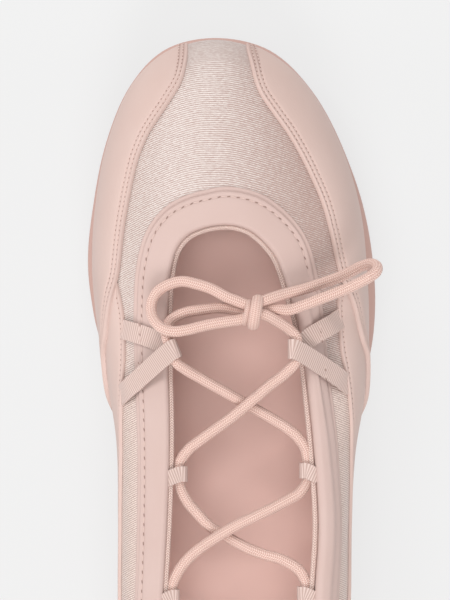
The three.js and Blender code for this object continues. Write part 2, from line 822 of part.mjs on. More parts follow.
function foldedRibbon(before, cord, axis, after, angles, width) {
  const up = new Vector3(0, 0, 1);
  const inward = axis.clone().cross(up);
  const fold = angles.map((degrees) => {
    const angle = THREE.MathUtils.degToRad(degrees);
    const face = inward.clone().multiplyScalar(Math.cos(angle)).addScaledVector(up, Math.sin(angle));
    return { at: cord.clone().addScaledVector(face, FOLD_RADIUS), face, across: axis.clone() };
  });
  const path = [...before, ...fold, ...after];
  path.forEach((row, i) => {
    const ahead = path[Math.min(i + 1, path.length - 1)].at;
    const behind = path[Math.max(i - 1, 0)].at;
    if (!row.across) {
      row.across = ahead.clone().sub(behind).cross(row.face).normalize();
      row.across.multiplyScalar(Math.sign(row.across.dot(axis)));
    }
  });
  const side = (lift) =>
    path.map((row) =>
      [-0.5, 0.5].map((share) =>
        row.at.clone().addScaledVector(row.across, share * width).addScaledVector(row.face, lift),
      ),
    );
  return slab(side(RIBBON_WALL / 2), side(-RIBBON_WALL / 2), false);
}

function legPlace(x, y, side) {
  const place = underPlan(x, y);
  const face = lastNormal(place.round, place.share);
  const at = onLast(place.round, place.share, LEG_LIFT);
  return { at, face: face.multiplyScalar(side) };
}

const FRONT_LOOPS = [
  {
    name: "front_loop_medial",
    cord: [-18.5, 30.5, 53.3],
    axis: [0.37, -0.93],
    back: [[-32.6, 17.2], [-28.9, 20.2], [-25.1, 23.5]],
    front: [[-20.8, 32.6], [-23.8, 34], [-27.8, 35.4], [-32.3, 36.6]],
  },
  {
    name: "front_loop_lateral",
    cord: [19.7, 30.8, 53.3],
    axis: [0, 1],
    back: [[34, 20.6], [31.4, 22.2], [28.7, 24]],
    front: [[22.6, 34], [25.4, 35.7], [28.6, 37.5], [32, 39.4]],
  },
];
for (const loop of FRONT_LOOPS) {
  const axis = new Vector3(loop.axis[0], loop.axis[1], 0).normalize();
  if (axis.clone().cross(new Vector3(0, 0, 1)).x * loop.cord[0] > 0) {
    axis.negate();
  }
  const before = loop.back.map(([x, y]) => legPlace(x, y, 1));
  const after = loop.front.map(([x, y]) => legPlace(x, y, -1));
  const cord = new Vector3(...loop.cord);
  addPiece(loop.name, foldedRibbon(before, cord, axis, after, FRONT_FOLD, RIBBON_WIDTH), ribbon);
}

const COLLAR_LOOPS = [
  { name: "middle_loop_medial", cord: [-16.1, -7.5, 48], round: 0.7186 },
  { name: "middle_loop_lateral", cord: [23.3, -6.5, 47.7], round: 0.2762 },
  { name: "back_loop_medial", cord: [-18.4, -45, 52.5], round: 0.6667 },
  { name: "back_loop_lateral", cord: [22.5, -44.1, 52.5], round: 0.332 },
];
for (const loop of COLLAR_LOOPS) {
  const rim = onLast(loop.round, 1, -UPPER_WALL);
  const cord = new Vector3(...loop.cord);
  const inward = new Vector3(Math.sign(-cord.x), 0, 0);
  const up = new Vector3(0, 0, 1);
  const axis = up.clone().cross(inward);
  const reach = Math.abs(cord.x - rim.x) - RIM_GAP;
  const upper = cord.clone().addScaledVector(up, FOLD_RADIUS).addScaledVector(inward, -reach);
  const lower = cord.clone().addScaledVector(up, -FOLD_RADIUS).addScaledVector(inward, -reach);
  const before = [{ at: upper, face: up.clone(), across: axis.clone() }];
  const after = [{ at: lower, face: up.clone().negate(), across: axis.clone() }];
  addPiece(loop.name, foldedRibbon(before, cord, axis, after, COLLAR_FOLD, LOOP_WIDTH), ribbon);
}

export default shoe;
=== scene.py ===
import math

import bpy
import numpy as np
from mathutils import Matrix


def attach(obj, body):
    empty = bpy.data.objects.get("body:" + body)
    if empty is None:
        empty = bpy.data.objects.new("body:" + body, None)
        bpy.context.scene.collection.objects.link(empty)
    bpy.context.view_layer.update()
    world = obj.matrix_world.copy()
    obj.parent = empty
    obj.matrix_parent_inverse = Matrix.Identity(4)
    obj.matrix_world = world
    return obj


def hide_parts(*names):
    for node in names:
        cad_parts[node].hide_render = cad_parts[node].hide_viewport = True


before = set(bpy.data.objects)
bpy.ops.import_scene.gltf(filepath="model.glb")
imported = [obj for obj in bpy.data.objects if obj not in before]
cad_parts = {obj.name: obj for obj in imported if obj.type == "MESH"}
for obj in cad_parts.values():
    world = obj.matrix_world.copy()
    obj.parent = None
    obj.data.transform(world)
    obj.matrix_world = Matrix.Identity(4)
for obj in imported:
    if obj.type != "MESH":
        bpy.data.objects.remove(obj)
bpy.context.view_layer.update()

# Outsole
# A cup of dusty pink rubber, moulded in one with a grooved tread, one line round its side and a low lip.
# The lip is glued to the foot of the upper, and a ledge stands out beside the ball.

MM = 0.001

# The last, in millimetres, station by station from the toe along the outer side to the heel and back along
# the inner side: the widest place of the wall, the topline, the tuck of the wall's foot under its widest
# place, the ledge of the sole beyond it, and the width of the collar band.
STATIONS = np.array([
    [-5.8, 126.6, -1.7, 68.8, 2.2, 1.3, 12],
    [11.2, 122.2, 2.2, 68.3, 1.5, 2, 12],
    [23.8, 110.3, 6, 66.8, 1.4, 1.9, 12],
    [33.9, 91.5, 10.2, 63.3, 1.4, 1.9, 12],
    [39.2, 73.3, 13.8, 58.6, 1.4, 2.7, 11.8],
    [41.3, 52.9, 17.5, 48, 1.4, 3.7, 10.6],
    [41.8, 36, 20.8, 36.5, 1.6, 3, 8.9],
    [40.8, 17.1, 23.3, 18, 2.6, 0.3, 8.6],
    [37.7, -1.4, 25.3, 0, 3.2, -0.7, 9.6],
    [36.3, -24, 26.8, -23, 3.2, -0.7, 10],
    [36.1, -47, 25.4, -45, 2.8, -0.4, 10],
    [35, -69.9, 24.5, -68, 2.6, 0, 10.2],
    [31.8, -92.7, 22, -90, 2.4, 0.5, 10.4],
    [24.6, -111.4, 16.5, -107.5, 2.2, 1, 11],
    [13.2, -122.5, 9, -116.8, 2.2, 1.6, 11.2],
    [1, -125.8, 1, -119.5, 2.2, 2, 11.2],
    [-11.2, -122.5, -7, -116.8, 2.2, 1.6, 10.8],
    [-23, -111.3, -15, -107.5, 2.2, 1, 10.8],
    [-30.6, -92.7, -20.3, -90, 2.4, 0.5, 10.8],
    [-33.7, -69.9, -22, -68, 2.6, 0, 10.4],
    [-34.4, -47, -21.3, -45, 3, -0.5, 10.2],
    [-34.4, -22, -20, -21, 3.4, -0.9, 10.7],
    [-35, 2.1, -19.3, 3, 3.4, -0.9, 11.4],
    [-38.2, 22.2, -19.6, 24, 2.6, 0, 11.6],
    [-41.2, 41.1, -19.7, 42, 1.6, 2.1, 11.6],
    [-42.4, 58, -18.8, 54.5, 1.4, 2.8, 11.6],
    [-41.2, 76.8, -16.8, 61.7, 1.4, 2.1, 11.6],
    [-37.5, 95.1, -13.5, 65.6, 1.4, 1.9, 11.6],
    [-30.3, 111.9, -9.3, 67.6, 1.4, 1.9, 11.6],
    [-20.4, 122.2, -5.5, 68.5, 1.5, 2, 11.6],
])
WALL_COLUMNS = slice(0, 2)
COLLAR_COLUMNS = slice(2, 4)
EDGE_COLUMNS = slice(4, 7)

# Places along the shoe, heights and shares that shape the last and the sole.
TOE_END = 128
BALL_FRONT = 72
BALL_BACK = 14
HEEL_FRONT = -48
HEEL_BEVEL_AT = -112
STACK_BACK = -66
STACK_FRONT = 44
HEEL_STACK = 19
FOREFOOT_STACK = 11.5
TOE_SPRING = 7
WAIST_ARCH = 2
HEEL_BEVEL = 2.5
THROAT_HEIGHT = 47
TOPLINE_RISE = 23
THROAT_AT = 69
TOPLINE_LENGTH = 188.5
HEEL_WALL_HEIGHT = 17
TOE_WALL_HEIGHT = 9.5
WALL_BACK = -110
WALL_FRONT = 90
SHOULDER_IN = 0.22
SHOULDER_UP = 0.62
SEAT = 0.3
SECTION_STEPS = 33
# Small steps in turn and share, which find the directions on the last.
STRIDE = 1e-4
FRAME_STRIDE = 4e-4
SHARE_STRIDE = 0.004


def smooth(low, high, value):
    share = np.clip((value - low) / (high - low), 0, 1)
    return share * share * (3 - 2 * share)


def blend(start, end, share):
    return start + (end - start) * share


def unit(vectors):
    return vectors / np.linalg.norm(vectors, axis=-1, keepdims=True)


def toe_spring(y):
    return TOE_SPRING * np.maximum(0, (y - BALL_FRONT) / (TOE_END - BALL_FRONT)) ** 2


def floor_height(y):
    arch = np.sin(np.pi * np.clip((y - HEEL_FRONT) / (BALL_BACK - HEEL_FRONT), 0, 1)) ** 2
    bevel = np.maximum(0, (HEEL_BEVEL_AT - y) / (HEEL_BEVEL_AT + TOE_END)) ** 2
    return toe_spring(y) + WAIST_ARCH * arch + HEEL_BEVEL * bevel


def footbed_height(y):
    return blend(HEEL_STACK, FOREFOOT_STACK, smooth(STACK_BACK, STACK_FRONT, y)) + toe_spring(y)


def bent(before, start, end, after, share):
    """A smooth curve from start to end that passes through its neighbours too, with no overshoot."""
    gaps = []
    for first, second in ((before, start), (start, end), (end, after)):
        gaps.append(np.maximum(np.linalg.norm(second - first, axis=-1, keepdims=True) ** 0.5, 1e-3))
    first, middle, last = gaps
    leave = (start - before) / first - (end - before) / (first + middle) + (end - start) / middle
    reach = (end - start) / middle - (after - start) / (middle + last) + (after - end) / last
    leave = leave * middle
    reach = reach * middle
    square = 3 * (end - start) - 2 * leave - reach
    cube = 2 * (start - end) + leave + reach
    return start + leave * share + square * share**2 + cube * share**3


def rail(points, share, closed=False):
    """Places on the curve through the points; share goes from 0 to 1 with equal parts from point to point."""
    points = np.asarray(points, float)
    share = np.asarray(share, float)
    if closed:
        knots = np.concatenate([points[-1:], points, points[:2]])
        along = (share % 1) * len(points)
        most = len(points) - 1
    else:
        knots = np.concatenate([[2 * points[0] - points[1]], points, [2 * points[-1] - points[-2]]])
        most = len(points) - 2
        along = np.clip(share, 0, 1) * (most + 1)
    at = np.minimum(along.astype(int), most)
    return bent(knots[at], knots[at + 1], knots[at + 2], knots[at + 3], (along - at)[..., None])


def edge_sizes(turn):
    return rail(STATIONS[:, EDGE_COLUMNS], turn, closed=True)


def wall_line(turn):
    return rail(STATIONS[:, WALL_COLUMNS], turn, closed=True)


def outward(turn):
    ahead = wall_line(turn + STRIDE) - wall_line(turn - STRIDE)
    return unit(np.stack([-ahead[..., 1], ahead[..., 0]], -1))


def last_sections(turn):
    """The last's section at each turn: points from the lasted edge to the topline, and its lengths."""
    wall = wall_line(turn)
    collar = rail(STATIONS[:, COLLAR_COLUMNS], turn, closed=True)
    foot = wall - outward(turn) * edge_sizes(turn)[:, 0:1]
    wall_up = footbed_height(wall[:, 1])
    wall_up = wall_up + blend(HEEL_WALL_HEIGHT, TOE_WALL_HEIGHT, smooth(WALL_BACK, WALL_FRONT, wall[:, 1]))
    behind = np.clip((THROAT_AT - collar[:, 1]) / TOPLINE_LENGTH, 0, 1)
    collar_up = THROAT_HEIGHT + TOPLINE_RISE * behind ** 2
    foot = np.column_stack([foot, footbed_height(foot[:, 1]) + SEAT])
    shoulder = np.column_stack([blend(wall, collar, SHOULDER_IN), blend(wall_up, collar_up, SHOULDER_UP)])
    wall = np.column_stack([wall, wall_up])
    collar = np.column_stack([collar, collar_up])
    knots = [2 * foot - wall, foot, wall, shoulder, collar, 2 * collar - shoulder]
    share = np.linspace(0, 1, SECTION_STEPS)[None, :, None]
    parts = []
    for at in range(3):
        before, start, end, after = (knot[:, None, :] for knot in knots[at:at + 4])
        part = bent(before, start, end, after, share)
        parts.append(part if at == 0 else part[:, 1:])
    points = np.concatenate(parts, axis=1)
    steps = np.linalg.norm(np.diff(points, axis=1), axis=2)
    lengths = np.concatenate([np.zeros((len(steps), 1)), np.cumsum(steps, axis=1)], axis=1)
    return points, lengths


def last_points(turn, share):
    """Places on the last: turn round the shoe from the toe, share up the section to the topline."""
    turn, share = np.broadcast_arrays(np.asarray(turn, float), np.asarray(share, float))
    shape = turn.shape
    turns, row = np.unique(np.round(turn.ravel(), 7), return_inverse=True)
    points, lengths = last_sections(turns)
    lengths = lengths / lengths[:, -1:]
    share = share.ravel()
    at = np.clip((lengths[row] <= share[:, None]).sum(1) - 1, 0, lengths.shape[1] - 2)
    low = lengths[row, at]
    part = ((share - low) / (lengths[row, at + 1] - low))[:, None]
    return blend(points[row, at], points[row, at + 1], part).reshape(*shape, 3)


def section_length(turn):
    return last_sections(np.asarray(turn, float).ravel())[1][:, -1].reshape(np.shape(turn))


def last_frame(turn, share):
    """Places on the last with the directions up the section and straight out of the surface there."""
    high = np.minimum(share + SHARE_STRIDE, 1)
    low = np.maximum(share - SHARE_STRIDE, 0)
    up = last_points(turn, high) - last_points(turn, low)
    ahead = last_points(turn + FRAME_STRIDE, share) - last_points(turn - FRAME_STRIDE, share)
    return last_points(turn, share), unit(up), unit(np.cross(up, ahead))


WELD = 0.002
SMOOTH_ANGLE = 38


def sheet_over(name, places, facing=None, marks=None, wrap=False):
    """A grid laid over the places, in rows; marks are its UV places in millimetres, facing its outer side."""
    rows, columns = places.shape[:2]
    bpy.ops.object.select_all(action="DESELECT")
    bpy.ops.mesh.primitive_grid_add(x_subdivisions=columns - 1, y_subdivisions=rows - 1, size=1)
    piece = bpy.context.object
    piece.name = name
    piece.data.name = name
    piece.data.vertices.foreach_set("co", (places * MM).astype(np.float32).ravel())
    if marks is not None:
        corners = np.empty(len(piece.data.loops), np.int32)
        piece.data.loops.foreach_get("vertex_index", corners)
        flat = marks.reshape(-1, 2)[corners].astype(np.float32)
        piece.data.uv_layers[0].data.foreach_set("uv", flat.ravel())
    piece.data.update()
    bpy.ops.object.mode_set(mode="EDIT")
    bpy.ops.mesh.select_all(action="SELECT")
    if facing is not None:
        normals = np.empty(len(piece.data.polygons) * 3, np.float32)
        piece.data.polygons.foreach_get("normal", normals)
        outer = facing[:-1, :-1].reshape(-1, 3)
        if (normals.reshape(-1, 3) * outer).sum() < 0:
            bpy.ops.mesh.flip_normals()
    if wrap:
        bpy.ops.mesh.remove_doubles(threshold=WELD * MM)
    if facing is None:
        bpy.ops.mesh.normals_make_consistent(inside=False)
    bpy.ops.object.mode_set(mode="OBJECT")
    return piece


def modified(piece, kind, **settings):
    """Adds a modifier with its settings to the piece and applies it."""
    bpy.context.view_layer.objects.active = piece
    bpy.ops.object.modifier_add(type=kind)
    modifier = piece.modifiers[-1]
    for name, value in settings.items():
        setattr(modifier, name, value)
    bpy.ops.object.modifier_apply(modifier=modifier.name)


def fitted(piece, material, slot, *nodes):
    """Gives a finished piece its material and its place in the shared frame."""
    bpy.ops.object.select_all(action="DESELECT")
    piece.select_set(True)
    bpy.context.view_layer.objects.active = piece
    bpy.ops.object.shade_smooth_by_angle(angle=math.radians(SMOOTH_ANGLE))
    piece.data.materials.clear()
    piece.data.materials.append(material)
    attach(piece, "root")
    if nodes:
        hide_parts(*nodes)


def linear(hex_colour):
    """An sRGB hex colour as the linear colour that the shaders take."""
    shades = [int(hex_colour[at:at + 2], 16) / 255 for at in (1, 3, 5)]
    return [shade / 12.92 if shade <= 0.04045 else ((shade + 0.055) / 1.055) ** 2.4 for shade in shades] + [1]


def node(tree, kind, inputs=None, **settings):
    """Adds a node; inputs gives a socket's name or number its value, or the node or output linked to it."""
    added = tree.nodes.new(kind)
    for name, value in settings.items():
        setattr(added, name, value)
    for socket, value in (inputs or {}).items():
        if isinstance(value, bpy.types.Node):
            value = value.outputs[0]
        if isinstance(value, bpy.types.NodeSocket):
            tree.links.new(value, added.inputs[socket])
        else:
            added.inputs[socket].default_value = value
    return added


def new_material(name):
    """An empty material and the tree that its nodes go in."""
    material = bpy.data.materials.new(name)
    material.use_nodes = True
    material.node_tree.nodes.clear()
    return material, material.node_tree


# Moulded rubber: dull and even, with a faint cloud in its colour and a fine skin that breaks the light.
RUBBER = "#C19B92"
RUBBER_CLOUD = "#BA9589"
RUBBER_CLOUD_SIZE = 18
RUBBER_SKIN_SIZE = 0.5
RUBBER_SKIN_DEEP = 0.05
rubber, tree = new_material("moulded_rubber")
place = node(tree, "ShaderNodeTexCoord").outputs["Object"]
cloud_scale = 1 / (RUBBER_CLOUD_SIZE * MM)
cloud = node(tree, "ShaderNodeTexNoise", {"Vector": place, "Scale": cloud_scale, "Detail": 2})
tint = node(tree, "ShaderNodeMix", {0: cloud, 6: linear(RUBBER), 7: linear(RUBBER_CLOUD)}, data_type="RGBA")
skin = node(tree, "ShaderNodeTexNoise", {"Vector": place, "Scale": 1 / (RUBBER_SKIN_SIZE * MM), "Detail": 1})
relief = node(tree, "ShaderNodeBump", {"Strength": 0.2, "Distance": RUBBER_SKIN_DEEP * MM, "Height": skin})
surface = node(tree, "ShaderNodeBsdfPrincipled", {
    "Base Color": tint.outputs[2], "Roughness": 0.55, "IOR": 1.5, "Normal": relief})
node(tree, "ShaderNodeOutputMaterial", {"Surface": surface})

SOLE_STEPS = 240
LIP_RISE = 2.6
LIP_WALL = 1.3
# How the lip is rounded: where it leaves the ledge, at its outer edge and at its crest.
LEDGE_SHARE = 0.55
LEDGE_DIP = 0.35
LIP_EDGE_DOWN = 0.5
LIP_EDGE_IN = 0.3
LIP_EDGE_UP = 0.05
LIP_CREST_SHARE = 0.4
LIP_CREST_UP = 0.1
FLEX_GROOVES = [88, 74, 60, 46, 32, -62, -79, -96]
FLEX_WIDTH = 2.4
FLEX_DEEP = 1.5
FLEX_LONG = 120
# From the tread's edge up to the ledge: how far inside the sole's outline, what share of the way from the
# floor to the footbed, and how much above that.
SOLE_SIDE = [
    [3.2, 0, 0],
    [2.2, 0, 0.45],
    [1.4, 0, 1.3],
    [0.9, 0, 2.4],
    [0.35, 0.3, 0.2],
    [0.1, 0.55, -0.75],
    [0.4, 0.55, -0.4],
    [0.65, 0.55, 0],
    [0.35, 0.55, 0.4],
    [0, 0.55, 0.75],
    [0, 0.8, 0],
    [0.15, 1, -1.4],
    [0.5, 1, -0.7],
]
INNER_SHARES = [0.3, 0.65, 1]
turns = np.arange(SOLE_STEPS + 1) / SOLE_STEPS
sole_out = outward(turns)


def sole_ring(inset, height, rise):
    place = wall_line(turns) + sole_out * (edge_sizes(turns)[:, 1:2] - inset)
    low = floor_height(place[:, 1])
    return np.column_stack([place, blend(low, footbed_height(place[:, 1]), height) + rise])


def towards_middle(ring, share, height):
    """The ring drawn in to the line along its middle, at the height that belongs there."""
    place = blend(ring, (ring + ring[::-1]) / 2, share)
    place[:, 2] = height(place[:, 1])
    return place


side_rings = [sole_ring(*row) for row in SOLE_SIDE]
flat_out = np.column_stack([sole_out, np.zeros(len(turns))])
upright = np.array([0, 0, 1])
lip_place, _, lip_out = last_frame(turns, LIP_RISE / section_length(turns))
lip_inner = lip_place + lip_out * SEAT
lip_outer = lip_inner + flat_out * LIP_WALL
lip_foot = last_points(turns, 0) + flat_out * SEAT
lip_foot[:, 2] = footbed_height(lip_foot[:, 1])
lip_rings = [
    blend(side_rings[-1], lip_outer, LEDGE_SHARE) - upright * LEDGE_DIP,
    lip_outer - upright * LIP_EDGE_DOWN,
    lip_outer - flat_out * LIP_EDGE_IN + upright * LIP_EDGE_UP,
    blend(lip_inner, lip_outer, LIP_CREST_SHARE) + upright * LIP_CREST_UP,
    lip_inner,
    lip_foot,
]
under = [towards_middle(side_rings[0], share, floor_height) for share in reversed(INNER_SHARES)]
bed = [towards_middle(lip_foot, share, footbed_height) for share in INNER_SHARES]
sole = sheet_over("cup_sole", np.array(under + side_rings + lip_rings + bed), wrap=True)
bpy.ops.object.select_all(action="DESELECT")
cutters = []
for y in FLEX_GROOVES:
    bpy.ops.mesh.primitive_cube_add(size=1, location=(0, y * MM, float(floor_height(np.array(y))) * MM))
    cutter = bpy.context.object
    cutter.scale = (FLEX_LONG * MM, FLEX_WIDTH * MM, 2 * FLEX_DEEP * MM)
    cutters.append(cutter)
for cutter in cutters:
    cutter.select_set(True)
bpy.ops.object.join()
grooves = bpy.context.object
bpy.ops.object.transform_apply(location=True, rotation=True, scale=True)
modified(sole, "BOOLEAN", object=grooves, operation="DIFFERENCE", solver="EXACT")
bpy.data.objects.remove(grooves)
fitted(sole, rubber, "sole_rubber", "outsole")

# Insole
# A thin lasted board with a smooth sock lining, cut to the last's footbed and glued into the cup.
# Its edge turns up a little where it meets the lining of the upper.

# Sock lining: a smooth matte leather cloth, a shade deeper than the upper, with a fine even grain.
SOCK = "#D7B5AC"
SOCK_DEEP = "#D0ACA2"
SOCK_CLOUD_SIZE = 30
SOCK_GRAIN_SIZE = 0.4
SOCK_GRAIN_DEEP = 0.05
sock_lining, tree = new_material("sock_lining")
place = node(tree, "ShaderNodeTexCoord").outputs["Object"]
cloud = node(tree, "ShaderNodeTexNoise", {"Vector": place, "Scale": 1 / (SOCK_CLOUD_SIZE * MM), "Detail": 2})
tint = node(tree, "ShaderNodeMix", {0: cloud, 6: linear(SOCK), 7: linear(SOCK_DEEP)}, data_type="RGBA")
grain = node(tree, "ShaderNodeTexNoise", {"Vector": place, "Scale": 1 / (SOCK_GRAIN_SIZE * MM), "Detail": 2})
relief = node(tree, "ShaderNodeBump", {"Strength": 0.15, "Distance": SOCK_GRAIN_DEEP * MM, "Height": grain})
surface = node(tree, "ShaderNodeBsdfPrincipled", {
    "Base Color": tint.outputs[2], "Roughness": 0.6, "IOR": 1.5, "Normal": relief})
node(tree, "ShaderNodeOutputMaterial", {"Surface": surface})

UPPER_WALL = 1.8
INSOLE_TOP = 3.5
INSOLE_CUP = 1.6
CUP_POWER = 8
INSOLE_GAP = 0.15
INSOLE_ROUND = 0.4
UNDER_SHARES = [1, 0.5]
INSOLE_SHARES = [0.02, 0.05, 0.1, 0.17, 0.26, 0.4, 0.6, 0.8, 1]


def sock_height(share):
    return lambda y: footbed_height(y) + INSOLE_TOP + INSOLE_CUP * (1 - share) ** CUP_POWER


sock_edge = last_points(turns, 0) - flat_out * (UPPER_WALL + INSOLE_GAP)
sock_low = sock_edge.copy()
sock_low[:, 2] = footbed_height(sock_edge[:, 1]) + SEAT
sock_high = sock_edge.copy()
sock_high[:, 2] = sock_height(0)(sock_edge[:, 1]) - INSOLE_ROUND
sock_rows = [towards_middle(sock_low, share, lambda y: footbed_height(y) + SEAT) for share in UNDER_SHARES]
sock_rows += [sock_low, sock_high]
sock_rows += [towards_middle(sock_edge, share, sock_height(share)) for share in INSOLE_SHARES]
sock = sheet_over("sock_insole", np.array(sock_rows), wrap=True)
fitted(sock, sock_lining, "sock_lining", "insole")

# Upper
# A body of fine ribbed faille, pulled over the last and glued under it, open along the throat.
# Its ribs run across the vamp and lean back down the sides, as the cloth was turned on the last.

# Ribbed faille: fine crosswise cords with a dull line between them, drawn in a darker colour as painted
# shade in the grooves; paler and cooler on top of the vamp, a painted sheen, and a little warmer along the
# sides.
FAILLE = "#D2C8C2"
FAILLE_SIDE = "#DFCDC3"
FAILLE_GROOVE_SHADE = "#A1837A"
RIB_PITCH = 0.675
RIB_DEEP = 0.1
RIB_LEAN = 0.1
# The ribs sway a little, over a length; each is spun of short yarns, which roughen and speckle it.
RIB_SWAY = 0.4
SWAY_LONG = 9
YARN_LONG = 1.2
YARN_THICK = 0.35
YARN_RISE = 0.5
YARN_SPECK = 1.6
# Round the heel the ribs stand upright, side by side; down the front of the toe they stay level.
HEEL_FROM = -95
HEEL_ROUND = 27
TOE_FROM = 105
TOE_TO = 120
TOE_BELOW = 36
TOE_TURN = 0.8
# On each side, the place across the shoe where the ribs start to bend back, how much, and how softly.
RIB_BENDS = [[-8, -1, 0.5, 10], [-3, 1, 0.33, 6]]
# On the outer side of the vamp the cloth is painted darker, towards the groove colour: painted shade on the
# side that takes less light.
SIDE_SHADE_PAINTED = 0.45
PAINTED_LIGHT_ALONG = [15, 45]
SIDE_SHADE_ACROSS = [-6, 24]
faille, tree = new_material("ribbed_faille")
place = node(tree, "ShaderNodeTexCoord").outputs["Object"]
x, y, z = node(tree, "ShaderNodeSeparateXYZ", {0: place}).outputs
behind = node(tree, "ShaderNodeMath", {0: HEEL_FROM * MM, 1: y}, operation="SUBTRACT")
behind = node(tree, "ShaderNodeMath", {0: behind, 1: 0.0}, operation="MAXIMUM")
aside = node(tree, "ShaderNodeMath", {0: x}, operation="ABSOLUTE")
heel_angle = node(tree, "ShaderNodeMath", {0: behind, 1: aside}, operation="ARCTAN2")
before = node(tree, "ShaderNodeMath", {0: y, 1: HEEL_FROM * MM}, operation="MAXIMUM")
rounding = -HEEL_ROUND * MM
along = node(tree, "ShaderNodeMath", {0: heel_angle, 1: rounding, 2: before}, operation="MULTIPLY_ADD")
at_toe = node(tree, "ShaderNodeMapRange", {0: y, 1: TOE_FROM * MM, 2: TOE_TO * MM, 3: 0.0, 4: TOE_TURN})
below_toe = node(tree, "ShaderNodeMath", {0: TOE_BELOW * MM, 1: z}, operation="SUBTRACT")
below_toe = node(tree, "ShaderNodeMath", {0: below_toe, 1: 0.0}, operation="MAXIMUM")
along = node(tree, "ShaderNodeMath", {0: at_toe, 1: below_toe, 2: along}, operation="MULTIPLY_ADD")
ribs = node(tree, "ShaderNodeMath", {0: z, 1: -RIB_LEAN, 2: along}, operation="MULTIPLY_ADD")
for start, side, bend, softness in RIB_BENDS:
    beside = node(tree, "ShaderNodeMath", {0: x, 1: side, 2: -side * start * MM}, operation="MULTIPLY_ADD")
    beyond = node(tree, "ShaderNodeMath", {0: beside, 1: 0.0}, operation="MAXIMUM")
    soft = (softness * MM) ** 2
    square = node(tree, "ShaderNodeMath", {0: beyond, 1: beyond, 2: soft}, operation="MULTIPLY_ADD")
    reach = node(tree, "ShaderNodeMath", {0: square}, operation="SQRT")
    ribs = node(tree, "ShaderNodeMath", {0: reach, 1: bend, 2: ribs}, operation="MULTIPLY_ADD")
drift = node(tree, "ShaderNodeTexNoise", {"Vector": place, "Scale": 1 / (SWAY_LONG * MM), "Detail": 1})
ribs = node(tree, "ShaderNodeMath", {0: drift, 1: RIB_SWAY * MM, 2: ribs}, operation="MULTIPLY_ADD")
turned = node(tree, "ShaderNodeMath", {0: ribs, 1: 2 * math.pi / (RIB_PITCH * MM)}, operation="MULTIPLY")
wave = node(tree, "ShaderNodeMath", {0: turned}, operation="SINE")
cord_share = node(tree, "ShaderNodeMath", {0: wave, 1: 0.5, 2: 0.5}, operation="MULTIPLY_ADD")
yarn_scale = [1 / (size * MM) for size in (YARN_LONG, YARN_THICK, YARN_THICK)]
stretch = node(tree, "ShaderNodeMapping", {"Vector": place, "Scale": yarn_scale})
yarns = node(tree, "ShaderNodeTexNoise", {"Vector": stretch, "Scale": 1, "Detail": 2})
height = node(tree, "ShaderNodeMath", {0: yarns, 1: YARN_RISE, 2: cord_share}, operation="MULTIPLY_ADD")
relief = node(tree, "ShaderNodeBump", {"Strength": 0.7, "Distance": RIB_DEEP * MM, "Height": height})
speck = node(tree, "ShaderNodeMath", {0: yarns, 1: YARN_SPECK, 2: -YARN_SPECK / 2}, operation="MULTIPLY_ADD")
vamp_from, vamp_to = PAINTED_LIGHT_ALONG
# A share along the vamp that weights both the painted shade and the painted sheen.
painted_light_on_vamp = node(tree, "ShaderNodeMapRange", {0: y, 1: vamp_from * MM, 2: vamp_to * MM, 3: 0.0, 4: 1.0})
side_shade_from, side_shade_to = SIDE_SHADE_ACROSS
# Painted shade: darker towards the outer side of the vamp.
side_shade = node(tree, "ShaderNodeMapRange", {0: x, 1: side_shade_from * MM, 2: side_shade_to * MM, 3: 0.0, 4: -SIDE_SHADE_PAINTED})
shaded = node(tree, "ShaderNodeMath", {0: painted_light_on_vamp, 1: side_shade, 2: speck}, operation="MULTIPLY_ADD")
shade = node(tree, "ShaderNodeMath", {0: shaded, 1: cord_share}, operation="ADD", use_clamp=True)
# Painted sheen: on top of the vamp the cords take the paler, cooler colour, along the sides the warmer one.
cord_sheen_mix = node(tree, "ShaderNodeMix", {0: painted_light_on_vamp, 6: linear(FAILLE_SIDE), 7: linear(FAILLE)}, data_type="RGBA")
cord_tint_with_sheen = cord_sheen_mix.outputs[2]
# Painted shade: the line between the cords takes the darker groove colour.
tint = node(tree, "ShaderNodeMix", {0: shade, 6: linear(FAILLE_GROOVE_SHADE), 7: cord_tint_with_sheen}, data_type="RGBA")
surface = node(tree, "ShaderNodeBsdfPrincipled", {
    "Base Color": tint.outputs[2], "Roughness": 0.42, "IOR": 1.56, "Specular IOR Level": 0.7,
    "Coat Weight": 0.35, "Coat Roughness": 0.42, "Normal": relief})
node(tree, "ShaderNodeOutputMaterial", {"Surface": surface})

UPPER_STEPS = 300
UPPER_ROWS = 40
CLOTH_WALL = 0.9
CLOTH_TOP = 0.97


def lasted(name, steps, rows, low, lift, wall):
    """A cloth round the whole last, from a low share of it to under the collar, with a lift and a wall."""
    turn, share = np.meshgrid(np.arange(steps + 1) / steps, np.linspace(low, CLOTH_TOP, rows))
    place, _, out = last_frame(turn, share)
    piece = sheet_over(name, place + out * lift, facing=out, wrap=True)
    modified(piece, "SOLIDIFY", thickness=wall * MM, offset=-1)
    return piece


cloth = lasted("faille_upper", UPPER_STEPS, UPPER_ROWS, 0, 0, CLOTH_WALL)
fitted(cloth, faille, "ribbed_textile", "upper")

# Lining
# A soft pale cloth, cut like the upper and glued to its inside. It closes the upper round the foot, and the
# collar's facing is folded down over its edge.

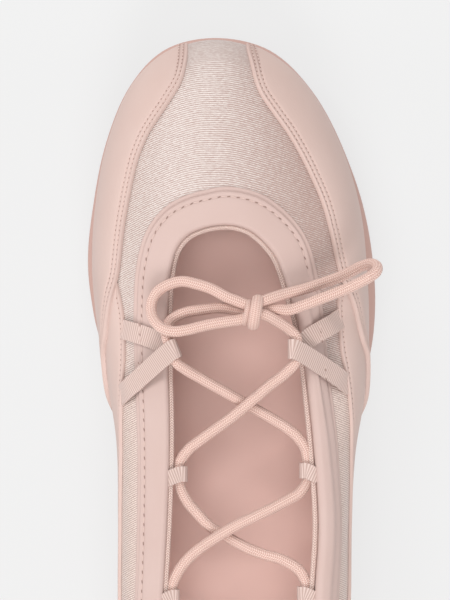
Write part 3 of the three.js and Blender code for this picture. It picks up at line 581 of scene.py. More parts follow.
# Lining cloth: matt, with a fine nap that keeps the light inside the shoe even.
LINING = "#E6CCC2"
NAP_SIZE = 0.5
NAP_DEEP = 0.08
lining_cloth, tree = new_material("lining_cloth")
place = node(tree, "ShaderNodeTexCoord").outputs["Object"]
nap = node(tree, "ShaderNodeTexNoise", {"Vector": place, "Scale": 1 / (NAP_SIZE * MM), "Detail": 2})
relief = node(tree, "ShaderNodeBump", {"Strength": 0.25, "Distance": NAP_DEEP * MM, "Height": nap})
surface = node(tree, "ShaderNodeBsdfPrincipled", {
    "Base Color": linear(LINING), "Roughness": 0.8, "Sheen Weight": 0.2, "Normal": relief})
node(tree, "ShaderNodeOutputMaterial", {"Surface": surface})

LINING_STEPS = 200
LINING_ROWS = 24
LINING_LOW = 0.02
LINING_LIFT = -0.95
LINING_WALL = 0.8
lining = lasted("upper_lining", LINING_STEPS, LINING_ROWS, LINING_LOW, LINING_LIFT, LINING_WALL)
fitted(lining, lining_cloth, "ribbed_textile")

# Quarter overlay
# One panel of smooth leather round the heel, with a pointed front on each side. Its top edge is skived,
# folded and sewn down with one row of stitches; its front ends go under the mudguards.

# Smooth leather: satin finished, with soft clouds of tone and a soft broad light. Its grain is drawn coarser
# than the real one, so that it shows, and a slow pull of the skin lies under it.
LEATHER = "#CAB2AA"
LEATHER_CLOUD = "#C5ABA2"
LEATHER_CLOUD_SIZE = 14
LEATHER_GRAIN_SIZE = 0.7
LEATHER_GRAIN_DEEP = 0.06
LEATHER_PULL_SIZE = 5
LEATHER_PULL = 3


def leather_of(name, colour, cloud_colour):
    """A leather in two close tones."""
    leather, tree = new_material(name)
    place = node(tree, "ShaderNodeTexCoord").outputs["Object"]
    cloud_scale = 1 / (LEATHER_CLOUD_SIZE * MM)
    cloud = node(tree, "ShaderNodeTexNoise", {"Vector": place, "Scale": cloud_scale, "Detail": 2})
    tones = {0: cloud, 6: linear(colour), 7: linear(cloud_colour)}
    tint = node(tree, "ShaderNodeMix", tones, data_type="RGBA")
    pores = {"Vector": place, "Scale": 1 / (LEATHER_GRAIN_SIZE * MM)}
    grain = node(tree, "ShaderNodeTexVoronoi", pores, feature="SMOOTH_F1")
    pull_scale = 1 / (LEATHER_PULL_SIZE * MM)
    pull = node(tree, "ShaderNodeTexNoise", {"Vector": place, "Scale": pull_scale, "Detail": 3})
    skin = node(tree, "ShaderNodeMath", {0: pull, 1: LEATHER_PULL, 2: grain}, operation="MULTIPLY_ADD")
    deep = LEATHER_GRAIN_DEEP * MM
    relief = node(tree, "ShaderNodeBump", {"Strength": 0.25, "Distance": deep, "Height": skin})
    surface = node(tree, "ShaderNodeBsdfPrincipled", {
        "Base Color": tint.outputs[2], "Roughness": 0.5, "IOR": 1.5, "Specular IOR Level": 0.3,
        "Normal": relief})
    node(tree, "ShaderNodeOutputMaterial", {"Surface": surface})
    return leather


leather = leather_of("smooth_leather", LEATHER, LEATHER_CLOUD)

# Thread: twisted polyester close to the leather's colour, with a slight sheen.
THREAD = "#C9AFA6"
thread, tree = new_material("sewing_thread")
surface = node(tree, "ShaderNodeBsdfPrincipled", {
    "Base Color": linear(THREAD), "Roughness": 0.5, "Sheen Weight": 0.15})
node(tree, "ShaderNodeOutputMaterial", {"Surface": surface})
# Needle holes: small dark flattened marks between the stitches, painted shade of the needle pits, which give
# a seam its dotted line.
NEEDLE_HOLE_SHADE = "#937970"
SMALL_HOLE_SHADE = "#916F64"
hole_shades = []
for name, colour in (("needle_hole_shade", NEEDLE_HOLE_SHADE), ("small_needle_hole_shade", SMALL_HOLE_SHADE)):
    hole, tree = new_material(name)
    surface = node(tree, "ShaderNodeBsdfPrincipled", {"Base Color": linear(colour), "Roughness": 0.9})
    node(tree, "ShaderNodeOutputMaterial", {"Surface": surface})
    hole_shades.append(hole)
needle_hole_shade, small_hole_shade = hole_shades

LOWEST_SHARE = 0.16
SEARCH_TURNS = 600
SEARCH_SHARES = 40
SEARCH_ROUNDS = 5
SEARCH_STEP = 0.8
search_turn, search_share = np.meshgrid(
    np.arange(SEARCH_TURNS) / SEARCH_TURNS, np.linspace(LOWEST_SHARE, 1, SEARCH_SHARES))
search_plan = last_points(search_turn, search_share)[..., :2].reshape(-1, 2)


def under_plan(plan):
    """The turn and share of the places on the last that are seen at these places from above."""
    plan = np.asarray(plan, float)
    near = ((plan[:, None, :] - search_plan[None]) ** 2).sum(2).argmin(1)
    found = np.column_stack([search_turn.ravel()[near], search_share.ravel()[near]])
    for _ in range(SEARCH_ROUNDS):
        here = last_points(found[:, 0], found[:, 1])[:, :2]
        by_turn = (last_points(found[:, 0] + STRIDE, found[:, 1])[:, :2] - here) / STRIDE
        by_share = (here - last_points(found[:, 0], found[:, 1] - STRIDE)[:, :2]) / STRIDE
        miss = plan - here
        spread = by_turn[:, 0] * by_share[:, 1] - by_turn[:, 1] * by_share[:, 0]
        found[:, 0] += SEARCH_STEP * (miss[:, 0] * by_share[:, 1] - miss[:, 1] * by_share[:, 0]) / spread
        found[:, 1] += SEARCH_STEP * (by_turn[:, 0] * miss[:, 1] - by_turn[:, 1] * miss[:, 0]) / spread
        found[:, 1] = np.clip(found[:, 1], LOWEST_SHARE, 1)
    return found


def lengths_along(places):
    return np.concatenate([[0], np.cumsum(np.linalg.norm(np.diff(places, axis=0), axis=1))])


def between(at, lengths, values):
    """The values of a line, known at its lengths, at other lengths along it."""
    return np.column_stack([np.interp(at, lengths, column) for column in values.T])


# About how many millimetres one turn and one section of the last measure, to draw smooth lines on it.
LAST_SIZE = np.array([600, 70])
LINE_STEPS = 3000


def even_line(points, step):
    """Turn and share along a smooth line through the points, at even steps in millimetres."""
    fine = rail(np.asarray(points) * LAST_SIZE, np.linspace(0, 1, LINE_STEPS)) / LAST_SIZE
    lengths = lengths_along(last_points(*fine.T))
    return between(np.linspace(0, lengths[-1], int(lengths[-1] / step) + 1), lengths, fine)


# How a panel is laid: the largest share that its sewn edge takes, its lift at the foot behind the sole's lip,
# the climb over which it comes off that, the places where its toe end is skived thin, and its thickness.
RIM_MOST = 0.75
RIM_PROBE = 0.03
PANEL_TUCK = 0.2
TUCK_CLIMB = [0.2, 2.8]
TOE_SKIVE = [112, 124]
TOE_SKIVED = 0.45
PANEL_BACK = 0.45
PANEL_FOOT = 1
RAISED_FADE = [0.1, 0.5]


def panel_shares(edge, foot, distances):
    """The share of the way from a panel's edge to its foot at which each distance in from the edge lies."""
    start = last_points(*edge.T)
    inwards = last_points(*blend(edge, foot, RIM_PROBE).T) - start
    along = np.gradient(start, axis=0)
    width = np.linalg.norm(np.cross(inwards, along), axis=1) / np.linalg.norm(along, axis=1)
    shares = np.outer(distances, 1 / (width / RIM_PROBE + 1e-6))
    return shares * np.minimum(1, RIM_MOST / shares[-1])


def panel(name, edge, foot, rim, base, fill_rows, raised=0):
    """A leather panel from its folded edge down to its foot; rim is the edge's distances in and its lifts."""
    shares = panel_shares(edge, foot, rim[:, 0])
    fill = np.linspace(0, 1, fill_rows + 1)[1:, None]
    shares = np.concatenate([shares, blend(shares[-1:], 1, fill)])
    places = blend(edge[None], foot[None], shares[..., None])
    lift = np.concatenate([rim[:, 1], np.full(fill_rows, base)])[:, None]
    lift = lift + raised * (1 - smooth(*RAISED_FADE, shares))
    climb = places[..., 1] * section_length(places[..., 0]) - LIP_RISE
    lift = blend(PANEL_TUCK, lift, smooth(*TUCK_CLIMB, climb))
    place, _, out = last_frame(places[..., 0], places[..., 1])
    lift = lift * blend(1, TOE_SKIVED, smooth(*TOE_SKIVE, place[..., 1]))
    piece = sheet_over(name, place + out * lift[..., None], facing=out)
    modified(piece, "SOLIDIFY", thickness=PANEL_BACK * MM, offset=-1)
    return piece


STITCH_SIDES = 6
STITCH_RINGS = 5
STITCH_LONG = 0.72
STITCH_WIDE = 0.45
STITCH_FLAT = 0.6
STITCH_AHEAD = 0.5
HOLE_FLAT = 0.5
HOLE_SLANT = 0.25


def seam(place, out, lengths, at):
    """Places on a line at these lengths, the way ahead at each and the way out of the surface."""
    spots = between(at, lengths, place)
    return spots, between(at + STITCH_AHEAD, lengths, place) - spots, unit(between(at, lengths, out))


def panel_row(edge, foot, distance, lift, pitch, raised=0):
    """Places, directions and outward directions of a row of stitches inside a panel's edge."""
    share = panel_shares(edge, foot, np.array([distance]))[0]
    place, _, out = last_frame(*blend(edge, foot, share[:, None]).T)
    place = place + out * (lift + raised * (1 - smooth(*RAISED_FADE, share)))[:, None]
    lengths = lengths_along(place)
    return seam(place, out, lengths, np.arange(pitch, lengths[-1] - pitch, pitch))


def sewn(name, places, alongs, outs, size, flat, material):
    """A row of stitches or of painted needle-hole shades as one mesh: a small capsule at each place, lying
    along the seam.
    """
    bpy.ops.object.select_all(action="DESELECT")
    bpy.ops.mesh.primitive_uv_sphere_add(segments=STITCH_SIDES, ring_count=STITCH_RINGS, radius=0.5)
    pattern = bpy.context.object
    shape = np.array([corner.co for corner in pattern.data.vertices])
    faces = [list(face.vertices) for face in pattern.data.polygons]
    bpy.data.objects.remove(pattern)
    length, width = size
    alongs = unit(alongs - outs * (alongs * outs).sum(1, keepdims=True))
    corners = places[:, None, :] + alongs[:, None, :] * shape[None, :, 2:3] * length
    corners = corners + np.cross(outs, alongs)[:, None, :] * shape[None, :, 0:1] * width
    corners = corners + outs[:, None, :] * shape[None, :, 1:2] * width * flat
    every = [[corner + len(shape) * at for corner in face] for at in range(len(places)) for face in faces]
    mesh = bpy.data.meshes.new(name)
    mesh.from_pydata((corners.reshape(-1, 3) * MM).tolist(), [], every)
    piece = bpy.data.objects.new(name, mesh)
    bpy.context.scene.collection.objects.link(piece)
    fitted(piece, material, "smooth_leather")


def stitch_row(name, spots, alongs, outs, pitch, hole, hole_shade_material):
    """A row of lockstitches with a dark mark between each two, painted shade of the needle hole; hole is its
    length and width.
    """
    sewn(name, spots, alongs, outs, [pitch * STITCH_LONG, STITCH_WIDE], STITCH_FLAT, thread)
    way = unit(alongs)
    slanted = way + np.cross(outs, way) * HOLE_SLANT
    sewn(name + "_holes", spots + way * pitch / 2, slanted, outs, hole, HOLE_FLAT, hole_shade_material)


# The edges in plan, in millimetres, where the photo shows them, and as turn and share on the hidden sides.
MUDGUARD_OUT_PLAN = [
    [4.6, 124], [5.6, 119.5], [7, 113.3], [8.8, 108.9], [12.8, 103], [17, 97.1], [20.6, 91], [24.4, 83.3],
    [27.6, 75.7], [30, 67.1], [31.8, 58.8], [34, 50.7], [36.4, 44.5], [37.9, 38.5], [39.3, 33],
    [40.9, 27.5],
]
MUDGUARD_OUT_END = [[0.236, 0.26], [0.252, 0.1], [0.256, 0.05]]
MUDGUARD_IN_PLAN = [
    [-13.5, 124], [-14, 118], [-15.4, 112.8], [-18.8, 107], [-22.3, 101.8], [-25.6, 96.5], [-28.3, 90],
    [-30.3, 82], [-31.7, 75], [-33, 67], [-34, 58], [-35, 51.2], [-36.6, 43.5], [-37.7, 35], [-38.4, 28.5],
]
MUDGUARD_IN_END = [[0.758, 0.27], [0.742, 0.1], [0.738, 0.05]]
QUARTER_OUT_PLAN = [
    [34, 50.4], [32.6, 45.8], [32.8, 37], [33.5, 30], [34.9, 22.5], [36.1, 12.4], [36.5, 3.6],
]
QUARTER_BACK = [
    [0.295, 0.5], [0.34, 0.53], [0.42, 0.53], [0.5, 0.55], [0.58, 0.52], [0.66, 0.5], [0.71, 0.48],
    [0.735, 0.53],
]
QUARTER_IN_PLAN = [[-33.5, 14], [-32.9, 24], [-32.6, 32], [-32.9, 39.7], [-33.6, 44.7], [-35, 51]]
EDGE_STEP = 0.7
TOE_CUT_LOW = 0.06


def mudguard_edge(plan, end):
    top = under_plan(plan)
    start = np.array([[top[0, 0], TOE_CUT_LOW]])
    return even_line(np.concatenate([start, top, end]), EDGE_STEP)


def foot_line(turn):
    return np.column_stack([turn, PANEL_FOOT / section_length(turn)])


guard_out = mudguard_edge(MUDGUARD_OUT_PLAN, MUDGUARD_OUT_END)
guard_in = mudguard_edge(MUDGUARD_IN_PLAN, MUDGUARD_IN_END)
# How far the quarter goes under the mudguards, and the least that is left of it there, as shares.
QUARTER_UNDER = 0.035
QUARTER_LEAST = 0.02
quarter_edge = even_line(
    np.concatenate([under_plan(QUARTER_OUT_PLAN), QUARTER_BACK, under_plan(QUARTER_IN_PLAN)]), EDGE_STEP)
quarter_foot = foot_line(quarter_edge[:, 0])
for guard in (guard_out, guard_in[::-1]):
    beside = np.interp(quarter_edge[:, 0], guard[:, 0], guard[:, 1], left=0, right=0) - QUARTER_UNDER
    beside = np.minimum(beside, quarter_edge[:, 1] - QUARTER_LEAST)
    quarter_foot[:, 1] = np.maximum(quarter_foot[:, 1], beside)
# Distance in from the folded edge, and the height of the leather there.
QUARTER_RIM = np.array([
    [0, 0.05], [0.12, 0.55], [0.3, 0.88], [0.55, 1], [0.95, 0.9], [1.3, 0.62], [1.65, 0.82], [2.2, 0.88],
    [3.2, 0.85],
])
QUARTER_LIFT = 0.85
QUARTER_FILL = 22
QUARTER_ROW = 1.3
QUARTER_ROW_LIFT = 0.68
QUARTER_STITCH = 1.6
QUARTER_HOLE = [0.6, 0.35]
quarter = panel("quarter_leather", quarter_edge, quarter_foot, QUARTER_RIM, QUARTER_LIFT, QUARTER_FILL)
fitted(quarter, leather, "smooth_leather", "quarter_overlay")
row = panel_row(quarter_edge, quarter_foot, QUARTER_ROW, QUARTER_ROW_LIFT, QUARTER_STITCH)
stitch_row("quarter_stitches", *row, QUARTER_STITCH, QUARTER_HOLE, small_hole_shade)

# Mudguards
# Two smooth leather panels from the toe to the waist, one each side, over the fronts of the quarter.
# Their top edges are folded over a bead and sewn down with two rows of stitches.

MUDGUARD_RIM = np.array([
    [0, 0.1], [0.1, 0.75], [0.3, 1.2], [0.6, 1.4], [0.95, 1.28], [1.3, 0.86], [1.65, 1.18], [2, 1.26],
    [2.35, 1.16], [2.7, 0.86], [3.05, 1.14], [3.6, 1.2], [5, 1.2],
])
MUDGUARD_LIFT = 1.15
MUDGUARD_FILL = 20
MUDGUARD_ROWS = [1.3, 2.7]
MUDGUARD_ROW_LIFT = 0.94
MUDGUARD_STITCH = 1.5
MUDGUARD_HOLE = [0.6, 0.34]
# Where the quarter lies under them, they are raised by this much.
OVER_QUARTER = 0.75
OVER_FROM = [47, 55]
for name, edge, node_name in (
    ("mudguard_leather_lateral", guard_out, "mudguard_lateral"),
    ("mudguard_leather_medial", guard_in, "mudguard_medial"),
):
    foot = foot_line(blend(edge[0, 0], edge[-1, 0], np.linspace(0, 1, len(edge))))
    raised = OVER_QUARTER * (1 - smooth(*OVER_FROM, last_points(*edge.T)[:, 1]))
    guard = panel(name, edge, foot, MUDGUARD_RIM, MUDGUARD_LIFT, MUDGUARD_FILL, raised)
    fitted(guard, leather, "smooth_leather", node_name)
    for at, distance in enumerate(MUDGUARD_ROWS):
        row = panel_row(edge, foot, distance, MUDGUARD_ROW_LIFT, MUDGUARD_STITCH, raised)
        stitch_row(f"{name}_stitches_{at}", *row, MUDGUARD_STITCH, MUDGUARD_HOLE, small_hole_shade)

# Collar
# A padded leather facing that is folded over the topline, with a flat strip under its outer edge and one
# row of stitches. Inside, its edge is bound with a narrow braided tape.

# Collar leather: the panels' satin grain, painted a shade deeper than the panels for the shade that lies on
# the collar.
COLLAR = "#C4ACA5"
COLLAR_CLOUD = "#BFA59D"
shaded_collar_leather = leather_of("shaded_collar_leather", COLLAR, COLLAR_CLOUD)
COLLAR_STEPS = 400
COLLAR_WALL = 0.35
STRIP_OUT = 1.5
collar_turns = np.arange(COLLAR_STEPS + 1) / COLLAR_STEPS
band_width = edge_sizes(collar_turns)[:, 2]
collar_long = section_length(collar_turns)
# Distance in from the band's folded edge, and the height of the leather there: with the sewn groove, and on
# the outer side, where the padding fills it.
BAND_RIM = np.array([
    [0, 0.45, 0.45], [0.12, 0.9, 0.95], [0.35, 1.2, 1.3], [0.7, 1.32, 1.5], [1.2, 1.26, 1.68],
    [1.8, 1, 1.85], [2.4, 1.22, 2], [3.2, 1.32, 2.15],
])
BAND_STEPS = 7
BAND_INSIDE = [1.5, 3.5, 6]
PADDED_FROM = [0.145, 0.185]
PADDED_TO = [0.42, 0.46]
# The roll's radius and how much the band puffs up, sewn flat and padded.
ROLL_RADIUS = [1.35, 2.1]
PUFF = [0.15, 0.45]
ROLL_INSIDE = 1.45
ROLL_STEPS = 14
padded = smooth(*PADDED_FROM, collar_turns) * (1 - smooth(*PADDED_TO, collar_turns))
roll_radius = blend(*ROLL_RADIUS, padded)
roll_lift = roll_radius - ROLL_INSIDE
puff = blend(*PUFF, padded)


def collar_places(below, lift):
    """Places on the collar: a distance below the topline along the last, and a lift from it."""
    place, _, out = last_frame(collar_turns, 1 - below / collar_long)
    return place + out * np.broadcast_to(lift, collar_turns.shape)[:, None], out


def collar_sheet(name, rings):
    """Thin leather round the collar through the rings, each its places and the way out of them."""
    places, outs = [np.array(part) for part in zip(*rings)]
    piece = sheet_over(name, places, facing=outs, wrap=True)
    modified(piece, "SOLIDIFY", thickness=COLLAR_WALL * MM, offset=-1)
    return piece


top_place, top_up, top_out = last_frame(collar_turns, np.ones(COLLAR_STEPS + 1))
rings = []
for distance, sewn_lift, padded_lift in BAND_RIM:
    first = band_width - STRIP_OUT - distance
    first_lift = blend(sewn_lift, padded_lift, padded)
    rings.append(collar_places(first, first_lift))
for share in np.linspace(0, 1, BAND_STEPS)[1:]:
    lift = blend(first_lift, roll_radius + roll_lift, share) + puff * math.sin(math.pi * share)
    rings.append(collar_places(blend(first, roll_radius, share), lift))
for angle in np.linspace(0, math.pi, ROLL_STEPS)[1:]:
    away = roll_lift + roll_radius * math.cos(angle)
    rise = roll_radius * math.sin(angle) - roll_radius
    place = top_place + top_out * away[:, None] + top_up * rise[:, None]
    rings.append((place, top_out * math.cos(angle) + top_up * math.sin(angle)))
for below in BAND_INSIDE:
    rings.append((collar_places(roll_radius + below, -ROLL_INSIDE)[0], -top_out))
band = collar_sheet("collar_facing", rings)
fitted(band, shaded_collar_leather, "smooth_leather", "collar_band")

STRIP_RIM = [[0, 0.05], [0.12, 0.32], [0.35, 0.5], [0.8, 0.55], [1.5, 0.5], [3, 0.4]]
rings = [collar_places(band_width - distance, lift) for distance, lift in STRIP_RIM]
strip = collar_sheet("collar_strip", rings)
fitted(strip, shaded_collar_leather, "smooth_leather")

BAND_STITCH = 2.9
BAND_STITCH_IN = 1.8
BAND_STITCH_LIFT = 1.12
BAND_HOLE = [1.2, 0.42]
PADDED_LEAST = 0.5
stitch_place, stitch_out = collar_places(band_width - STRIP_OUT - BAND_STITCH_IN, BAND_STITCH_LIFT)
lengths = lengths_along(stitch_place)
at = np.linspace(0, lengths[-1], int(lengths[-1] / BAND_STITCH) + 1)[:-1]
spots, alongs, outs = seam(stitch_place, stitch_out, lengths, at)
shown = np.interp(at, lengths, padded) < PADDED_LEAST
stitch_row("collar_stitches", spots[shown], alongs[shown], outs[shown], BAND_STITCH, BAND_HOLE, needle_hole_shade)

# Braided tape: a narrow soft edging of small slanting picks, a little lighter than the lining, with painted
# shade in the grooves between the picks.
TAPE = "#F5E1D7"
TAPE_GROOVE_SHADE = "#9C6F62"
TAPE_ROWS = 8
TAPE_PITCH = 0.8
TAPE_SLANT = 0.9
TAPE_DEEP = 0.2
PICK_CROWN = 2.6


def slanting_picks(tree, rows, pitch, slant):
    """The height of a braid's picks by the UV map: rows round the piece that slant by turns each way."""
    marks = node(tree, "ShaderNodeUVMap")
    along, aside, _ = node(tree, "ShaderNodeSeparateXYZ", {0: marks}).outputs
    across = node(tree, "ShaderNodeMath", {0: aside, 1: rows}, operation="MULTIPLY")
    row_number = node(tree, "ShaderNodeMath", {0: across}, operation="FLOOR")
    in_row = node(tree, "ShaderNodeMath", {0: across}, operation="FRACT")
    centred = node(tree, "ShaderNodeMath", {0: in_row, 1: 0.5}, operation="SUBTRACT")
    odd = node(tree, "ShaderNodeMath", {0: row_number, 1: 2.0}, operation="MODULO")
    way = node(tree, "ShaderNodeMath", {0: odd, 1: -2.0, 2: 1.0}, operation="MULTIPLY_ADD")
    lean = node(tree, "ShaderNodeMath", {0: way, 1: centred}, operation="MULTIPLY")
    along = node(tree, "ShaderNodeMath", {0: along, 1: 1 / pitch}, operation="MULTIPLY")
    phase = node(tree, "ShaderNodeMath", {0: lean, 1: slant, 2: along}, operation="MULTIPLY_ADD")
    turned = node(tree, "ShaderNodeMath", {0: phase, 1: math.pi}, operation="MULTIPLY")
    wave = node(tree, "ShaderNodeMath", {0: turned}, operation="SINE")
    crest = node(tree, "ShaderNodeMath", {0: wave}, operation="ABSOLUTE")
    square = node(tree, "ShaderNodeMath", {0: centred, 1: centred}, operation="MULTIPLY")
    crown = node(tree, "ShaderNodeMath", {0: square, 1: -PICK_CROWN, 2: 1.0}, operation="MULTIPLY_ADD")
    return node(tree, "ShaderNodeMath", {0: crest, 1: crown}, operation="MULTIPLY", use_clamp=True)


braided_tape, tree = new_material("braided_tape")
pick = slanting_picks(tree, TAPE_ROWS, TAPE_PITCH, TAPE_SLANT)
tint = node(tree, "ShaderNodeMix", {0: pick, 6: linear(TAPE_GROOVE_SHADE), 7: linear(TAPE)}, data_type="RGBA")
relief = node(tree, "ShaderNodeBump", {"Strength": 0.8, "Distance": TAPE_DEEP * MM, "Height": pick})
surface = node(tree, "ShaderNodeBsdfPrincipled", {
    "Base Color": tint.outputs[2], "Roughness": 0.75, "Sheen Weight": 0.2, "Normal": relief})
node(tree, "ShaderNodeOutputMaterial", {"Surface": surface})

TAPE_SIDES = 10
# Beside the opening and at its front, where the collar lies flat: how far under and inside the topline.
TAPE_LIFT = [-1.75, -1.2]
TAPE_RISE = [-0.15, 0.5]
TAPE_FLAT = [0.84, 0.97]
TAPE_WIDE = 0.82
TAPE_THICK = 0.6
tape_flat = smooth(*TAPE_FLAT, top_out[:, 2])
along_tape = lengths_along(top_place)
rows = []
marks = []
for side in range(TAPE_SIDES + 1):
    angle = 2 * math.pi * side / TAPE_SIDES
    wide = TAPE_WIDE * math.cos(angle)
    thick = TAPE_THICK * math.sin(angle)
    lift = blend(*TAPE_LIFT, tape_flat) - (wide + thick) * math.sqrt(0.5)
    rise = blend(*TAPE_RISE, tape_flat) + (wide - thick) * math.sqrt(0.5)
    rows.append(top_place + top_out * lift[:, None] + top_up * rise[:, None])
    marks.append(np.column_stack([along_tape, np.full(COLLAR_STEPS + 1, side / TAPE_SIDES)]))
tape = sheet_over("collar_tape", np.array(rows), marks=np.array(marks), wrap=True)
fitted(tape, braided_tape, "ribbed_textile")

# Lace
# A round braided cord a little over 3 mm thick. It goes from the knot through the two front loops, crosses to
# the middle loops, crosses again to the back loops and closes behind them as one plain bar.

# Braided cord: rows of small slanting picks that meet as arrow heads along the cord, with a soft sheen; the
# darker colour between the picks is painted shade in the grooves.
CORD = "#F3D9CE"
CORD_GROOVE_SHADE = "#BB8778"
PICK_ROWS = 12
PICK_PITCH = 0.65
PICK_SLANT = 0.9
PICK_DEEP = 0.25
braided_cord, tree = new_material("braided_cord")
pick = slanting_picks(tree, PICK_ROWS, PICK_PITCH, PICK_SLANT)
tint = node(tree, "ShaderNodeMix", {0: pick, 6: linear(CORD_GROOVE_SHADE), 7: linear(CORD)}, data_type="RGBA")
relief = node(tree, "ShaderNodeBump", {"Strength": 0.8, "Distance": PICK_DEEP * MM, "Height": pick})
surface = node(tree, "ShaderNodeBsdfPrincipled", {
    "Base Color": tint.outputs[2], "Roughness": 0.6, "IOR": 1.5, "Sheen Weight": 0.15, "Normal": relief})
node(tree, "ShaderNodeOutputMaterial", {"Surface": surface})

CORD_DIAMETER = 3.4
CORD_SIDES = 16
CORD_STEP = 0.6
ROUTE_STEPS = 4000
cord_turn = np.linspace(0, 2 * math.pi, CORD_SIDES + 1)


def even_route(points, step):
    """Places at even steps on a smooth line through the points, and their lengths and shares along it."""
    shares = np.linspace(0, 1, ROUTE_STEPS)
    fine = rail(points, shares)
    lengths = lengths_along(fine)
    at = np.linspace(0, lengths[-1], int(lengths[-1] / step) + 1)
    return between(at, lengths, fine), at, np.interp(at, lengths, shares)


def cord_ring(middle, side, up):
    """A ring of cord round its middle, with its two half widths as directions."""
    return middle + np.cos(cord_turn)[:, None] * side + np.sin(cord_turn)[:, None] * up


def cord_marks(along):
    return np.column_stack([np.full(CORD_SIDES + 1, along), cord_turn / (2 * math.pi)])


def cord_tube(name, points):
    """A cord along the points, its rings carried on without twist, with closed ends."""
    path, along, _ = even_route(points, CORD_STEP)
    ahead = unit(np.gradient(path, axis=0))
    side = np.cross(ahead[0], upright)
    radius = CORD_DIAMETER / 2
    rows = []
    for place, way in zip(path, ahead):
        side = unit(side - way * (side @ way))
        rows.append(cord_ring(place, radius * side, radius * np.cross(side, way)))
    marks = [cord_marks(length) for length in along]
    tube = sheet_over(name, np.array(rows), marks=np.array(marks), wrap=True)
    bpy.ops.object.mode_set(mode="EDIT")
    bpy.ops.mesh.select_all(action="SELECT")
    bpy.ops.mesh.fill_holes(sides=0)
    bpy.ops.mesh.normals_make_consistent(inside=False)
    bpy.ops.object.mode_set(mode="OBJECT")
    return tube, path


STRAND_IN = [
    [6, 42.3, 54.6], [3, 42.4, 53.2], [-3, 43.4, 52.7], [-9.4, 42.8, 52.3], [-14.9, 41.7, 51.9],
    [-18.9, 39.2, 51.7], [-20, 35.4, 52.9], [-19.5, 33.2, 53.3],
]
LACE_IN_TO_BACK = [
    [-18.5, 30.5, 53.3], [-17, 26.9, 53.2], [-14, 24.5, 52.2], [-9.4, 21.8, 50.9], [-4.7, 19.1, 50.2],
    [0.1, 16.4, 49.4], [4.7, 13.8, 48.8], [11.9, 9.7, 48.6], [16.7, 6.7, 48.5], [20, 4, 48.2],
    [22.5, 0.4, 47.9], [23.2, -3, 47.7], [23.3, -6.5, 47.7], [23, -10, 47.8], [20.7, -13.4, 48.9],
    [17.3, -15.4, 49.6], [11.9, -18.2, 50.4], [6.6, -20.7, 51.2], [1.4, -23.2, 51.6], [-3.1, -25.8, 51.8],
    [-9.2, -29.8, 52.2], [-13.3, -33.3, 52.4], [-16.4, -37.4, 52.5], [-18.1, -41.4, 52.5],
    [-18.4, -45, 52.5], [-18.1, -48.6, 52.5], [-14, -52.6, 52.1],
]
LACE_BACK_TO_OUT = [
    [1.5, -53.4, 51.6], [17, -52.6, 52.1], [22.2, -47.7, 52.5], [22.5, -44.1, 52.5], [22.5, -40.2, 52.5],
    [20.6, -36.8, 52.4], [15.4, -33.6, 51.6], [10.1, -32.1, 50.8], [4.9, -30.2, 50], [-3.1, -25.8, 49.1],
    [-6.6, -23.6, 49.1], [-10.3, -19.9, 49], [-13.9, -15.5, 48.6], [-15.9, -11, 48], [-16.1, -7.5, 48],
    [-15.9, -4, 48], [-13.2, 0, 48.6], [-9, 3.3, 49.6], [-4.2, 6.8, 50.4], [0.4, 10.2, 51],
    [4.7, 13.8, 51.5], [7.7, 16.3, 51.6], [11.4, 19.5, 51.7], [16.6, 23.6, 52.4], [19.7, 27.2, 53.3],
    [19.7, 30.8, 53.3],
]
STRAND_OUT = [[19.8, 34.2, 53.3], [17.4, 37, 53.6], [13.5, 39.5, 55.6], [10, 41.3, 57.2], [7.2, 42, 57.4]]
lace, lace_path = cord_tube("lace_cord", STRAND_IN + LACE_IN_TO_BACK + LACE_BACK_TO_OUT + STRAND_OUT)
fitted(lace, braided_cord, "braided_cord", "lace", "bow_strand_medial", "bow_strand_lateral")

# Bow
# The two ends of the lace are tied over the throat in a bow with one loop each side. The knot is two turns
# of the same cord, and the ends are tucked into it.

KNOT_CENTRE = np.array([6.9, 42, 56])
# Across the knot from its middle, the ring's radius, half the width of the turn and half its thickness.
KNOT_TURNS = [[0.35, 3.85, 1.9, 1.65], [-2.2, 2.9, 1.05, 1.2]]
KNOT_SLANT = 0.75
KNOT_STEPS = 48
knots = []
for number, (across, ring, wide, thick) in enumerate(KNOT_TURNS):
    rows = []
    marks = []
    for angle in np.linspace(0, 2 * math.pi, KNOT_STEPS + 1):
        away = np.array([0, math.cos(angle), math.sin(angle)])
        middle = KNOT_CENTRE + away * ring + [across + KNOT_SLANT * math.cos(angle), 0, 0]
        rows.append(cord_ring(middle, thick * away, np.array([wide, 0, 0])))
        marks.append(cord_marks(angle * (ring + thick)))
    knots.append(sheet_over(f"knot_turn_{number}", np.array(rows), marks=np.array(marks), wrap=True))
bpy.ops.object.select_all(action="DESELECT")
for knot in knots:
    knot.select_set(True)
bpy.context.view_layer.objects.active = knots[0]
bpy.ops.object.join()
knot = bpy.context.object
knot.name = "bow_wrap"
fitted(knot, braided_cord, "braided_cord", "bow_knot")

